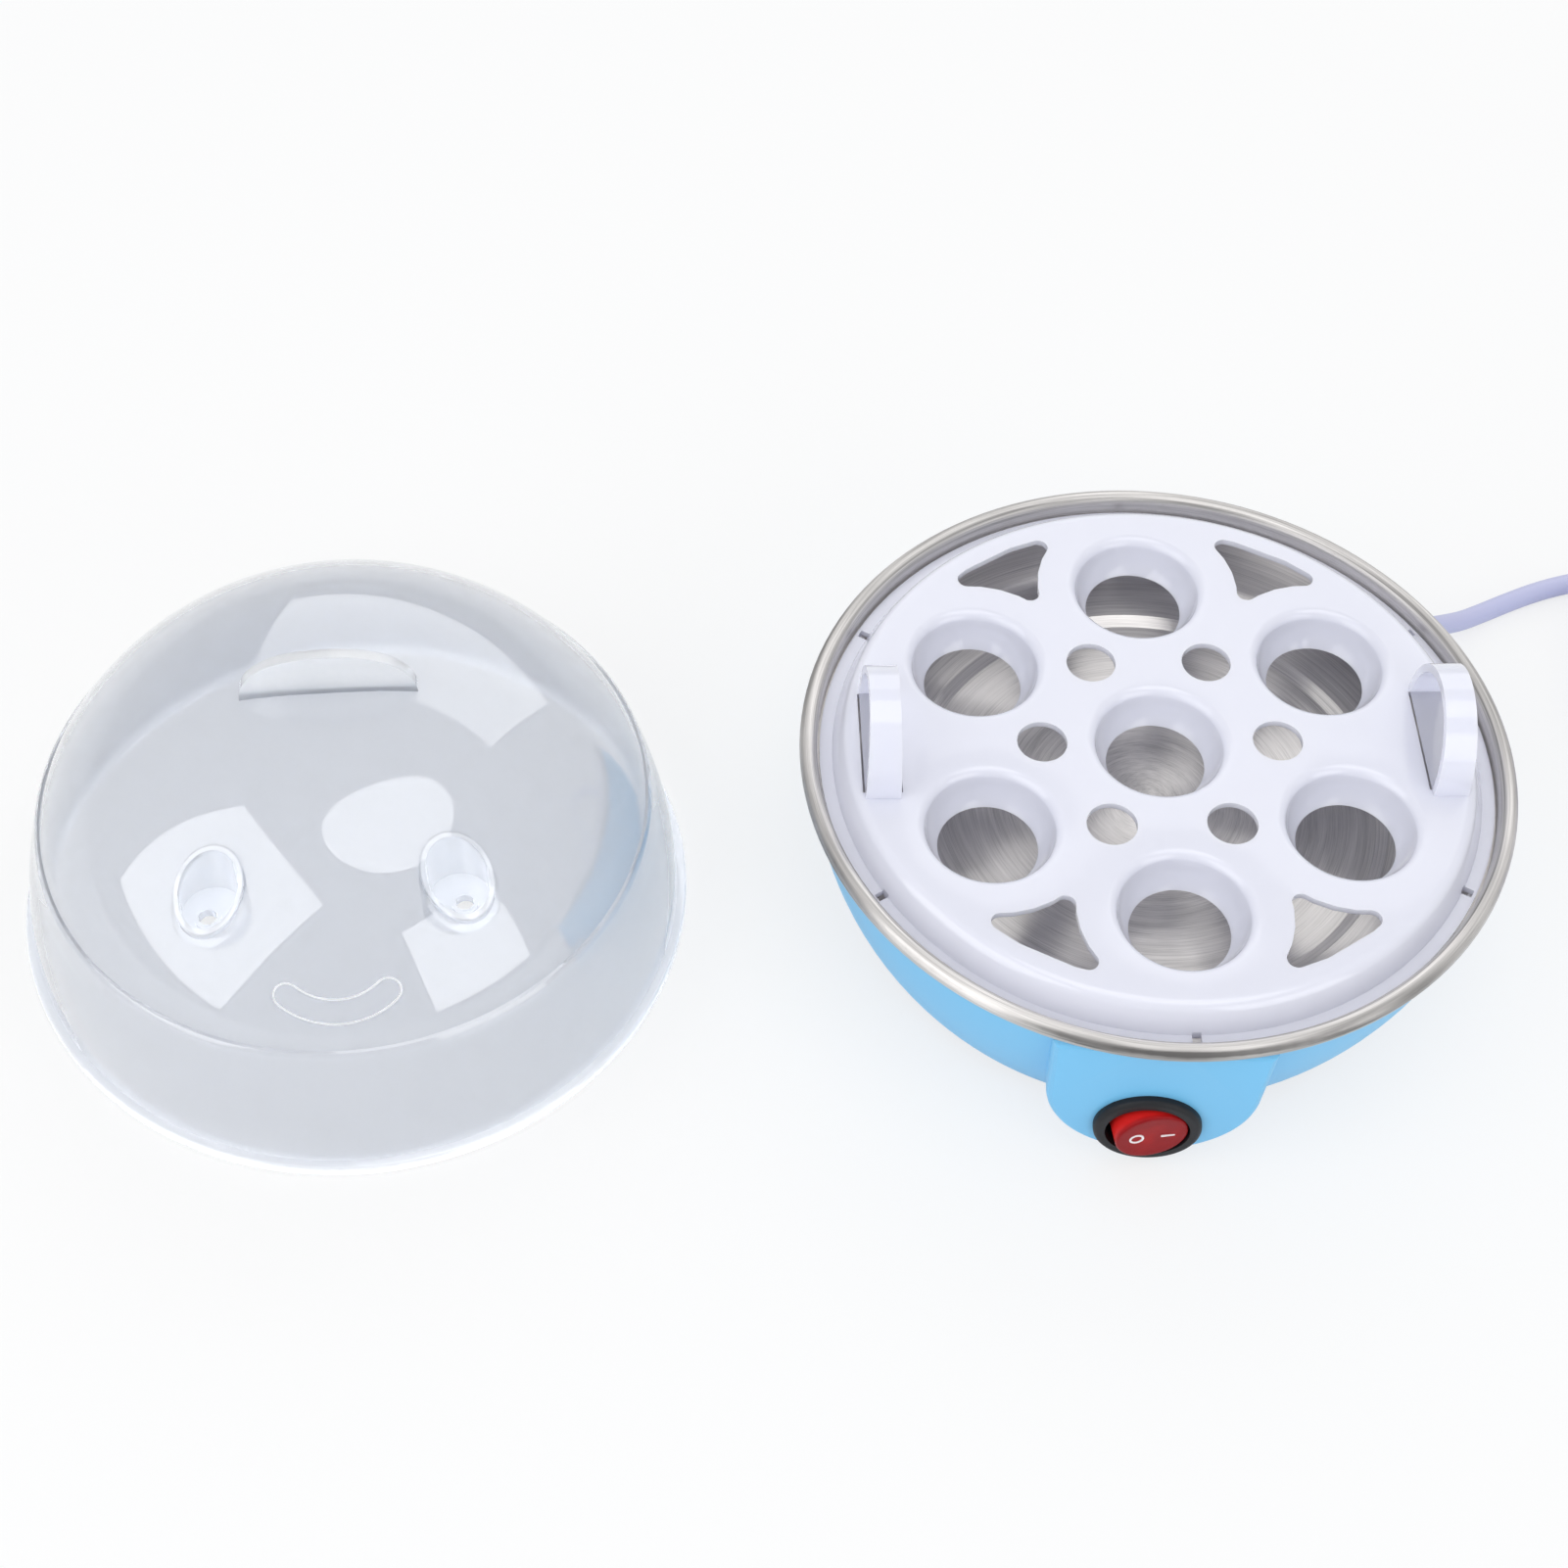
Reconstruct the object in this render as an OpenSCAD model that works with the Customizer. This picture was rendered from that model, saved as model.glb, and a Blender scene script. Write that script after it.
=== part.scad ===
// Electric egg cooker: a steel heating pan in a plastic bowl housing, a seven-cup
// lift-out tray, and a domed steam lid that stands beside the base.
// +Z is up, the switch faces -Y, and the surface it stands on is z = 0.

/* [Tray] */
// Distance from the middle cup to each outer cup
cup_pitch = 45; // [38:0.5:60]
// Radius of a cup at the tray's face
cup_r = 14.9; // [12:0.1:18]
// Radius of the opening in a cup's bottom
cup_hole_r = 10.9; // [8:0.1:13]
// Depth of a cup below the tray's face
cup_depth = 8.2; // [5:0.1:11]
// Flat land between an outer cup and the tray's shoulder
edge_land = 9.8; // [8:0.1:16]
// Wall of the tray moulding
tray_t = 1.6; // [1.2:0.1:2.4]
// Drop from the tray's face to its flange
shoulder_h = 6.5; // [3.5:0.1:8]
// Width of the flange that rests in the pan
flange_w = 2.8; // [2:0.1:5]
// Radius of the steam holes between the cups
steam_r = 5.5; // [3:0.1:6]
// Height of a handle strap's arch above the tray's face
strap_h = 18.6; // [12:0.2:26]
// Width of a handle strap at its foot
strap_w = 7.8; // [5:0.1:12]
// Length of a handle strap over its two feet
strap_l = 31; // [24:0.5:40]
// Thickness of a handle strap
strap_t = 1.8; // [1.4:0.1:3]
// Turn of the tray in the pan, in degrees
tray_turn = 5; // [0:1:60]

/* [Pan] */
// Height of the centre of the rolled rim
rim_z = 44.1; // [40:0.1:60]
// Radius of the rolled rim's section
roll_r = 1.95; // [1.4:0.05:3]
// Thickness of the steel
steel_t = 0.8; // [0.5:0.1:1.2]
// Depth of the pan's floor below the rim's centre
pan_depth = 17.1; // [14:0.1:20]
// Height of the step round the heated floor
step_h = 1.5; // [0.5:0.1:2.5]
// Width of the gutter outside the step
gutter_w = 14; // [10:0.5:18]
// Inward run of the pan's wall
wall_run = 4.8; // [2:0.1:8]

/* [Lid] */
// Height of the dome, without its grip
dome_h = 72.2; // [60:0.2:90]
// Wall of the lid
lid_t = 1.6; // [1.2:0.1:2.4]
// Height of the crease where the skirt meets the dome
crease_z = 35.6; // [24:0.2:42]
// Inward lean from the lid's rim to the crease
crease_in = 9.1; // [6:0.1:15]
// Distance of each vent pocket from the lid's axis
pocket_ring = 47.4; // [40:0.2:50]
// Radius of a vent pocket
pocket_r = 6.4; // [4:0.1:7.5]
// Length of the grip fin
grip_l = 37; // [26:0.5:44]
// Height of the grip fin above the apex
grip_h = 11.2; // [8:0.1:18]
// Thickness of the grip fin
grip_t = 2.4; // [1.8:0.1:4]
// Radius of a steam vent
vent_r = 1.9; // [1.5:0.1:3]
// Angle of each vent from the lid's front
vent_angle = 32; // [24:1:60]
// Clear space between the lid and the base beside it
lid_stand = 23.6; // [5:0.1:80]
// How far forward of the base's centre the lid stands
lid_forward = 19.4; // [0:0.1:60]
// Turn of the lid, in degrees
lid_turn = 8.6; // [-90:0.2:90]

/* [Housing] */
// Wall of the housing
wall = 2.2; // [1.8:0.1:3]
// Radius of the bowl's curved side
bowl_arc = 90; // [75:1:140]
// Height of the bowl's underside
under_z = 2.6; // [2:0.1:6]
// Half width of the switch pod
pod_r = 22.5; // [17:0.5:28]
// How far the pod's face stands out from the centre, short of the rim's outer edge
pod_back = 2.9; // [1:0.1:8]
// Thickness of the bottom cover
cover_t = 2; // [1.6:0.1:3]
// Radius of a rubber foot
foot_r = 6.5; // [5:0.1:9]
// Radius of a cover screw
screw_r = 1.5; // [1.2:0.1:2]

/* [Switch] */
// Radius of the switch's bezel
bezel_r = 11.5; // [10.5:0.1:13]
// Thickness of the bezel
bezel_t = 2; // [1:0.1:3]
// Radius of the switch's barrel
barrel_r = 10; // [9:0.1:11]
// Half travel of the rocker, in degrees
rock = 12; // [8:1:14]

/* [Heater] */
// Radius of the cast heater plate
plate_r = 45; // [38:0.5:50]
// Thickness of the heater plate
plate_t = 3.2; // [2.8:0.1:5]
// Radius of the heating tube's ring
ring_r = 32; // [26:0.5:38]
// Radius of the heating tube
tube_r = 3.2; // [2.5:0.1:3.5]

/* [Cord] */
// Diameter of the mains lead
cord_d = 5; // [4.5:0.1:5.5]
// Length of the strain relief's tapered sleeve
relief_l = 20; // [16:0.5:30]

/* [Hidden] */
$fn = 96;
fit = 0.05;            // running clearance of a pin in its hole
play = 0.3;            // loose clearance between pieces

// Tray and pan radii, built outwards from the egg cups
shoulder_w = 1.9;      // radial run of the tray's shoulder
tray_gap = 0.6;        // between the tray's flange and the pan
face_r = cup_pitch + cup_r + edge_land;
flange_in = face_r + shoulder_w;
flange_r = flange_in + flange_w;
pan_r = flange_r + tray_gap;
rim_r = pan_r + 2 * roll_r;
tray_rise = 4.4;       // tray's face above the rim's centre
face_z = rim_z + tray_rise;
flange_z = face_z - shoulder_h;
ledge_z = flange_z - tray_t;
ledge_w = 2.2;
step_w = 2.5;
wall_r = pan_r - ledge_w - wall_run;
gutter_in = wall_r - gutter_w;
floor_r = gutter_in - step_w;
floor_z = rim_z - pan_depth;
gutter_z = floor_z + step_h;
under_floor = floor_z - steel_t;
under_gutter = gutter_z - steel_t;

// Housing
bowl_out = 1.7;        // bowl's widest radius past the pan's
bowl_top = pan_r + bowl_out;
bowl_z = rim_z + tray_rise;
bowl_cx = bowl_top - bowl_arc;
top_z = rim_z - roll_r - 0.1;
function bowl_at(z, inset = 0) =
    bowl_cx + sqrt(pow(bowl_arc - inset, 2) - pow(bowl_z - z, 2));
base_r = bowl_at(under_z);
edge_f = 3;            // rounding of the bowl's bottom edge
cover_r = base_r - edge_f - 1.4;
cover_gap = 0.4;
shelf_z = under_z + cover_t;
shelf_t = 2;
shelf_in = 5;
pod_y = rim_r - pod_back;
pod_z = 1.5 + pod_r;   // centre of the pod's round bottom
pod_draft = 1;
pod_round = 2.2;       // rounding of the pod's front edge
switch_z = 13.4;
cover_n = 4;
cover_screw_r = cover_r - 3.6;
boss_r = 3.4;
boss_h = 8;
foot_ring = cover_r - 14;
foot_n = 4;
stem_r = 2.4;
lug_n = 3;
lug_ring = gutter_in + 5;
lug_z = under_gutter - 14.7;
lug_t = 3.5;
lug_r = 5;
stud_r = 2;
nut_h = 3.2;
lug_turn = 90;

// Lid
lid_gap = 0.3;
lid_r = pan_r - lid_gap;
bead_w = 3.6;
bead_h = 3;
bead_f = 0.8;          // rounding of the bead's outer edges
skirt_r = lid_r - 2.1;
skirt_bow = 1.1;
crease_r = lid_r - crease_in;
crease_step = 1.6;     // width and height of the round shoulder under the crease
crease_rise = 2.4;
dome_side = 1.16;      // exponents of the dome's curve: lower is rounder
dome_top = 2.75;
function dome_at(r) = crease_z
    + (dome_h - crease_z) * pow(1 - pow(r / crease_r, dome_top), 1 / dome_side);
pocket_z = dome_at(pocket_ring + pocket_r) - 2;
lip_w = 1.1;           // raised lip round each vent pocket
lip_h = 0.7;
vent_out = 1.8;
grip_bend = 2.3;       // exponent of the grip's outline: higher is squarer

// Places of the two standing pieces
lid_dx = rim_r + lid_r + lid_stand;
base_x = (lid_dx + lid_r - rim_r) / 2;
base_y = (lid_forward + lid_r - rim_r) / 2;

// Switch
pivot_back = 1.6;      // rocker's pivot behind the pod's face
pivot_y = -pod_y + pivot_back;
rocker_w = 7.6;        // half width of the rocker's face
rocker_front = 4.9;    // face ahead of the pivot
rocker_r = 8;
well_r = 9;
well_d = 8.4;
barrel_l = 13.4;
pin_r = 1.2;
tab_w = 4.8;
tab_t = 0.8;
tab_l = 8;

// Heater
plate_z = under_floor - plate_t;
tube_z = plate_z - 0.7;
ring_gap = 60;         // open angle of the heating tube, facing the switch
stat_r = 8;
stat_h = 7;
stat_tab_w = 6.2;
stat_tab_x = 15;       // reach of the thermostat's tabs
stat_tab_z = plate_z - stat_h - 0.8;
fuse_y = 20;
fuse_r = 2.6;
fuse_z = plate_z - fuse_r - 0.1;
fuse_end = 18.4;

// Strain relief and clamp of the lead
cord_r = cord_d / 2;
cord_angle = 45;
cord_z = 11;
bush_r = 5.5;
bush_flange = 7.2;
bush_flange_t = 1.8;
bush_lip = 6.2;
collar_r = bush_r + 2.4;
collar_in = cover_r + cover_gap + 0.2;
collar_out = bowl_at(cord_z + bush_flange) + 0.2;
relief_tip = collar_out + bush_flange_t + relief_l;
clamp_ring = cover_r - 4.9;
clamp_w = 5;
clamp_l = 21;
clamp_t = 4.5;
clamp_screw = 7;

// Lead: hand-laid points about the base's centre, on the floor from the sixth one on
lead = [[34.6, 34.6, 11], [50, 50, 11], [62, 62, 11], [67.4, 67.4, 11], [73.6, 72.6, 9.6],
    [79.2, 77.1, 6.4], [84.2, 80.9, 3.9], [89.5, 84.8, 2.5], [98, 89.8, 2.5], [106, 94, 2.5],
    [114, 97.2, 2.5], [122, 99.6, 2.5], [130, 101, 2.7], [138, 101.3, 3.1]];
tail = [[182.5, 55, 7.4], [182.5, 50, 6.9], [182.5, 44.5, 6.9]];

// Coil and plug, beside the base
coil_at = [150, 68.7];
coil_mid = 27.5;
coil_turns = [3, 2];   // turns side by side, and layers
tie_t = 0.6;
tie_gap = 0.1;
tie_angle = 9;
tie_at = 205;
coil_w = coil_turns[0] * cord_d;
coil_h = coil_turns[1] * cord_d;
coil_z = tie_t + tie_gap;
plug_w = 35.3;
plug_h = 13.7;
plug_l = 36;
boot_l = 14;
boot_r = 4.6;
prong_r = 2;
prong_l = 19;
prong_gap = 18.6;

// Wires inside the base, as hand-laid points about its centre between the parts they join
core_r = 1;
crimp = 3.5;           // wire's end inside the sleeve of its terminal
tab_end = -pod_y + barrel_l + tab_l + crimp;
stat_end = stat_tab_x + crimp;
pin_reach = 11.4;
pin_x = ring_r * sin(ring_gap / 2) - pin_reach * cos(ring_gap / 2);
pin_y = -ring_r * cos(ring_gap / 2) - pin_reach * sin(ring_gap / 2);
pin_z = tube_z - 1.3;
live_wire = [[35.3, 33.6, 11], [33.5, 31.8, 11], [31, 25, 10.4], [28, 12, 10], [25, -2, 10],
    [23, -18, 10.5], [16, -33, 12], [8, -44, switch_z - 0.4],
    [6, tab_end + 3, switch_z], [6, tab_end, switch_z]];
neutral_wire = [[33.6, 35.3, 11], [31.8, 33.5, 11], [24, 33, 10.4], [10, 34, 9.5], [-10, 31, 9.5],
    [-24, 22, 9.5], [-27, 4, 9.5], [-24, -14, 9.5], [-15, -28, 10.5],
    [-pin_x - 1.4, pin_y, pin_z - 6.5], [-pin_x, pin_y, pin_z]];
lamp_wire = [[-6, tab_end, switch_z], [-6, tab_end + 3, switch_z], [-8, -42, switch_z - 0.4],
    [-11, -36.5, switch_z],
    [-pin_x - 4.5, pin_y + 0.8, pin_z - 3.6], [-pin_x - 3.3, pin_y + 1.9, pin_z]];
switched_wire = [[0, tab_end, switch_z], [0, tab_end + 3, switch_z], [-1.6, -41, switch_z - 0.6],
    [-4, -32, 12],
    [-10, -20, 11], [-19, -12, 11.6], [-stat_end - 6.5, -5, stat_tab_z - 1.6],
    [-stat_end - 4.9, -0.4, stat_tab_z - 0.2], [-stat_end - 2.5, 0, stat_tab_z], [-stat_end, 0, stat_tab_z]];
stat_wire = [[stat_end, 0, stat_tab_z], [stat_end + 2.5, 0, stat_tab_z],
    [stat_end + 5.9, 3, stat_tab_z - 1], [stat_end + 6.5, 8, stat_tab_z - 2.2],
    [stat_end + 5.5, 14, stat_tab_z - 2.6], [fuse_end + 3.6, fuse_y - 1.4, fuse_z - 5.7],
    [fuse_end + 2, fuse_y, fuse_z - 2.3], [fuse_end, fuse_y, fuse_z]];
fuse_wire = [[-fuse_end, fuse_y, fuse_z], [-fuse_end - 2, fuse_y - 1, fuse_z - 2.9], [-18, 11, 11],
    [-12, 2, 9], [-4, -10, 8.4], [3, -24, 9.6], [pin_x + 1.4, pin_y + 0.4, pin_z - 6.5],
    [pin_x, pin_y, pin_z]];

// Places
module at_base() { translate([base_x, base_y, 0]) children(); }
module at_tray() { at_base() rotate(tray_turn) children(); }
module at_lid() { translate([base_x - lid_dx, base_y - lid_forward, 0]) rotate(lid_turn) children(); }
module ring_of(n, r, turn = 0) {
    for (k = [0 : n - 1]) rotate(turn + 360 * k / n) translate([r, 0, 0]) children();
}

// Points along an arc, and a sheet of even thickness along a path
function arc(c, r, a0, a1, n = 8) = [for (k = [0 : n]) let (a = a0 + (a1 - a0) * k / n)
    [c[0] + r * cos(a), c[1] + r * sin(a)]];
function unit(v) = v / norm(v);
function right(a, b) = let (d = unit(b - a)) [d[1], -d[0]];
function beside(p, t) = [for (k = [0 : len(p) - 1])
    let (u = right(p[max(k - 1, 0)], p[max(k, 1)]),
         v = right(p[min(k, len(p) - 2)], p[min(k + 1, len(p) - 1)]))
    p[k] + t * (u + v) / (1 + u * v)];
function turned(p) = [for (k = [len(p) - 1 : -1 : 0]) p[k]];
function revolved(p) = [for (q = p) [max(q[0], 0), q[1]]];
function sheet(p, t) = revolved(concat(p, turned(beside(p, t))));
// Arc from a to b, without a itself, that bulges to the right-hand side
function bow(a, b, bulge, n = 10) =
    let (c = norm(b - a) / 2, r = (c * c + bulge * bulge) / (2 * bulge), m = (a + b) / 2,
         o = m - right(a, b) * (r - bulge), h = asin(c / r),
         s = atan2(right(a, b)[1], right(a, b)[0]))
    [for (k = [1 : n]) let (g = s - h + 2 * h * k / n) o + r * [cos(g), sin(g)]];

// Smooth curve through points in space, and a tube swept along it
function spline(p, n) = concat([for (k = [0 : len(p) - 2], j = [0 : n - 1])
    let (t = j / n, a = p[max(k - 1, 0)], b = p[k], c = p[k + 1], d = p[min(k + 2, len(p) - 1)])
    b + t * (c - a) / 2 + t * t * (2 * a - 5 * b + 4 * c - d) / 2
        + t * t * t * (3 * b - a - 3 * c + d) / 2],
    [p[len(p) - 1]]);
function along(p, k) = unit(p[min(k + 1, len(p) - 1)] - p[max(k - 1, 0)]);
function across(p, k, u) = k == len(p) ? [] :
    let (v = unit(u - (u * along(p, k)) * along(p, k))) concat([v], across(p, k + 1, v));
module tube(p, r, n = 8) {
    side = across(p, 0, [0, 0, 1]);
    last = len(p) - 1;
    polyhedron(
        [for (k = [0 : last], j = [0 : n - 1]) let (a = 360 * j / n)
            p[k] + r * (cos(a) * side[k] + sin(a) * cross(along(p, k), side[k]))],
        concat([[for (j = [0 : n - 1]) j]],
            [for (k = [0 : last - 1], j = [0 : n - 1]) let (m = (j + 1) % n)
                [k * n + j, (k + 1) * n + j, (k + 1) * n + m, k * n + m]],
            [[for (j = [n - 1 : -1 : 0]) last * n + j]]));
}

// Heating pan: heated floor, step, gutter, wall, ledge and rolled rim in one sheet
pan_path = concat(
    [[0, floor_z], [floor_r, floor_z], [gutter_in, gutter_z]],
    arc([wall_r - 4, gutter_z + 4], 4, -90, -18, 6),
    [[pan_r - ledge_w, ledge_z], [pan_r, ledge_z]],
    arc([pan_r + roll_r, rim_z], roll_r, 180, -130, 20));

module heating_pan() {
    color([0.75, 0.74, 0.72]) at_base()
        rotate_extrude() polygon(sheet(pan_path, steel_t));
}

module pan_studs() {
    color([0.7, 0.7, 0.7]) at_base() ring_of(lug_n, lug_ring, lug_turn)
        translate([0, 0, lug_z - nut_h - 1]) cylinder(r = stud_r, h = under_gutter - lug_z + nut_h + 1);
}

module stud_nuts() {
    color([0.72, 0.7, 0.62]) at_base() ring_of(lug_n, lug_ring, lug_turn)
        translate([0, 0, lug_z - nut_h]) difference() {
            cylinder(r = 4, h = nut_h, $fn = 6);
            translate([0, 0, -1]) cylinder(r = stud_r + fit, h = nut_h + 2);
        }
}

// Tray
// Each cup is part of a ball, and turns over a round lip into the face
cup_in = cup_r - 0.85;
cup_mouth = cup_r + 1.5;
cup_lip = 2.4;
cup_fall = cup_depth - 1.9;
cup_o = (cup_in * cup_in - cup_hole_r * cup_hole_r - cup_fall * cup_fall) / (2 * cup_fall);
cup_ball = sqrt(cup_in * cup_in + cup_o * cup_o);
cup_path = concat(
    arc([0, cup_o - cup_depth + cup_fall], cup_ball,
        -atan2(cup_fall + cup_o, cup_hole_r), -atan2(cup_o, cup_in), 8),
    arc([cup_mouth, -cup_lip], cup_lip, 160, 90, 5),
    [[cup_mouth + 0.4, 0]]);
face_round = 3;
tray_path = concat(
    [[0, face_z]],
    arc([face_r - face_round, face_z - face_round], face_round, 90, 22, 6),
    [[flange_in, flange_z], [flange_r, flange_z]]);

module cup_spots() {
    children();
    ring_of(6, cup_pitch, 30) children();
}
module strap_outline(inset, foot) {
    half = strap_l / 2 - inset;
    intersection() {
        scale([half, strap_h - inset]) circle(1);
        translate([-half, 0]) square([2 * half, strap_h]);
    }
    translate([-half, -foot]) square([2 * half, foot + 0.01]);
}
strap_at = face_r - 8.1;
module strap() {
    lean = 0.65;
    translate([strap_at, 0, face_z]) intersection() {
        rotate([90, 0, 90]) translate([0, 0, -strap_w]) linear_extrude(2 * strap_w)
            difference() {
                strap_outline(0, tray_t / 2);
                strap_outline(strap_t, tray_t + 1);
            }
        rotate([90, 0, 0]) linear_extrude(strap_l + 2, center = true)
            polygon([[-strap_w / 2, -tray_t], [strap_w / 2, -tray_t],
                [strap_w / 2 - lean, strap_h + 1], [-strap_w / 2 + lean, strap_h + 1]]);
    }
}
window_edge = 5.9;      // windows' distance from the face's edge, and from the cups
window_land = 8;
module window_outline() {
    offset(2.2, $fn = 32) offset(-2.2) difference() {
        intersection() {
            circle(face_r - window_edge);
            rotate(60) translate([cup_pitch * 0.87, -20]) square([40, 40]);
        }
        for (a = [30, 90]) rotate(a) translate([cup_pitch, 0]) circle(cup_r + window_land);
    }
}
module egg_tray() {
    slot_l = strap_l - 2 * strap_t;
    color([0.93, 0.93, 0.98]) at_tray() {
        difference() {
            rotate_extrude() polygon(sheet(tray_path, tray_t));
            translate([0, 0, face_z - tray_t - 1]) {
                cup_spots() cylinder(r = cup_mouth, h = tray_t + 2);
                ring_of(6, cup_pitch / sqrt(3)) cylinder(r = steam_r, h = tray_t + 2);
                for (a = [0, 60, 180, 240]) rotate(a) linear_extrude(tray_t + 2) window_outline();
                for (s = [-1, 1]) translate([s * strap_at - strap_w / 2 - 0.4, -slot_l / 2, 0])
                    cube([strap_w + 0.8, slot_l, tray_t + 2]);
            }
            ring_of(6, flange_in + 0.9, 30) translate([-1.2, -1, ledge_z - 1])
                cube([2.4, 2, tray_t + 3]);
        }
        cup_spots() translate([0, 0, face_z]) rotate_extrude() polygon(sheet(cup_path, tray_t));
        for (a = [0, 180]) rotate(a) strap();
    }
}

// Lid: skirt, round shoulder, crease and dome
skirt_path = concat([[skirt_r, 0], [skirt_r, bead_h]],
    bow([skirt_r, bead_h], [crease_r + crease_step, crease_z - crease_rise], skirt_bow, 8));
shoulder_path = [for (a = [22.5, 45, 67.5])
    [crease_r + crease_step * cos(a), crease_z - crease_rise * (1 - sin(a))]];
dome_arc = [for (k = [0 : 28]) let (h = sin(90 * k / 28))
    [crease_r * pow(1 - pow(h, dome_side), 1 / dome_top), crease_z + (dome_h - crease_z) * h]];
dome_path = concat(skirt_path, shoulder_path, dome_arc);
inner_path = beside(concat(skirt_path, dome_arc), -lid_t);

module dome_fill() {
    rotate_extrude() polygon(revolved(concat(dome_path, [[0, 0]])));
}
module pocket_places() {
    for (s = [-1, 1]) rotate(-90 + s * vent_angle) translate([pocket_ring, 0, 0]) children();
}
module grip_outline() {
    base = dome_at(grip_l / 2) - lid_t / 2;
    polygon([for (k = [0 : 40]) let (a = 180 * k / 40, c = cos(a))
        [sign(c) * grip_l / 2 * pow(abs(c), 2 / grip_bend),
         base + (dome_h + grip_h - base) * pow(sin(a), 2 / grip_bend)]]);
}
module lid() {
    color([0.86, 0.88, 0.92, 0.6]) at_lid() {
        difference() {
            union() {
                rotate_extrude() polygon(revolved(concat(dome_path, turned(inner_path))));
                rotate_extrude() polygon(concat(
                    arc([lid_r - bead_f, bead_f], bead_f, -90, 0, 3),
                    arc([lid_r - bead_f, bead_h - bead_f], bead_f, 0, 90, 3),
                    [[lid_r - bead_w, bead_h], [lid_r - bead_w, 0]]));
                pocket_places() intersection() {
                    translate([0, 0, pocket_z - lid_t]) cylinder(r = pocket_r + lid_t, h = dome_h);
                    translate([-pocket_ring, 0, 0]) dome_fill();
                }
                pocket_places() intersection() {
                    cylinder(r = pocket_r + lip_w, h = dome_h);
                    translate([-pocket_ring, 0, 0]) rotate_extrude() polygon(revolved(concat(
                        beside(dome_arc, lip_h), turned(beside(dome_arc, -lid_t / 2)))));
                }
            }
            pocket_places() {
                difference() {
                    translate([0, 0, pocket_z]) cylinder(r = pocket_r, h = dome_h);
                    translate([vent_out, 0, pocket_z - 1]) cylinder(r = vent_r + 0.9, h = 1.7);
                }
                translate([vent_out, 0, 0]) cylinder(r = vent_r, h = dome_h);
            }
        }
        difference() {
            rotate([90, 0, 0]) linear_extrude(grip_t, center = true) grip_outline();
            rotate_extrude() polygon(revolved(concat(beside(dome_arc, -lid_t / 2),
                [[0, crease_z], [crease_r - lid_t, crease_z]])));
        }
    }
}

// Housing
module bowl_fill(inset, z0, z1) {
    rotate_extrude() intersection() {
        translate([bowl_cx, bowl_z]) circle(bowl_arc - inset, $fn = 180);
        translate([0, z0]) square([bowl_top + 5, z1 - z0]);
    }
}
module pod_outline(inset) {
    half = pod_r - inset;
    intersection() {
        union() {
            translate([0, pod_z]) circle(half);
            polygon([[-half, pod_z], [half, pod_z], [half + pod_draft, top_z + 5],
                [-half - pod_draft, top_z + 5]]);
        }
        translate([-pod_r - 5, 0]) square([2 * pod_r + 10, top_z - inset]);
    }
}
module pod_fill(inset, front, back) {
    translate([0, -back, 0]) rotate([90, 0, 0]) linear_extrude(front - back) pod_outline(inset);
}
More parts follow.
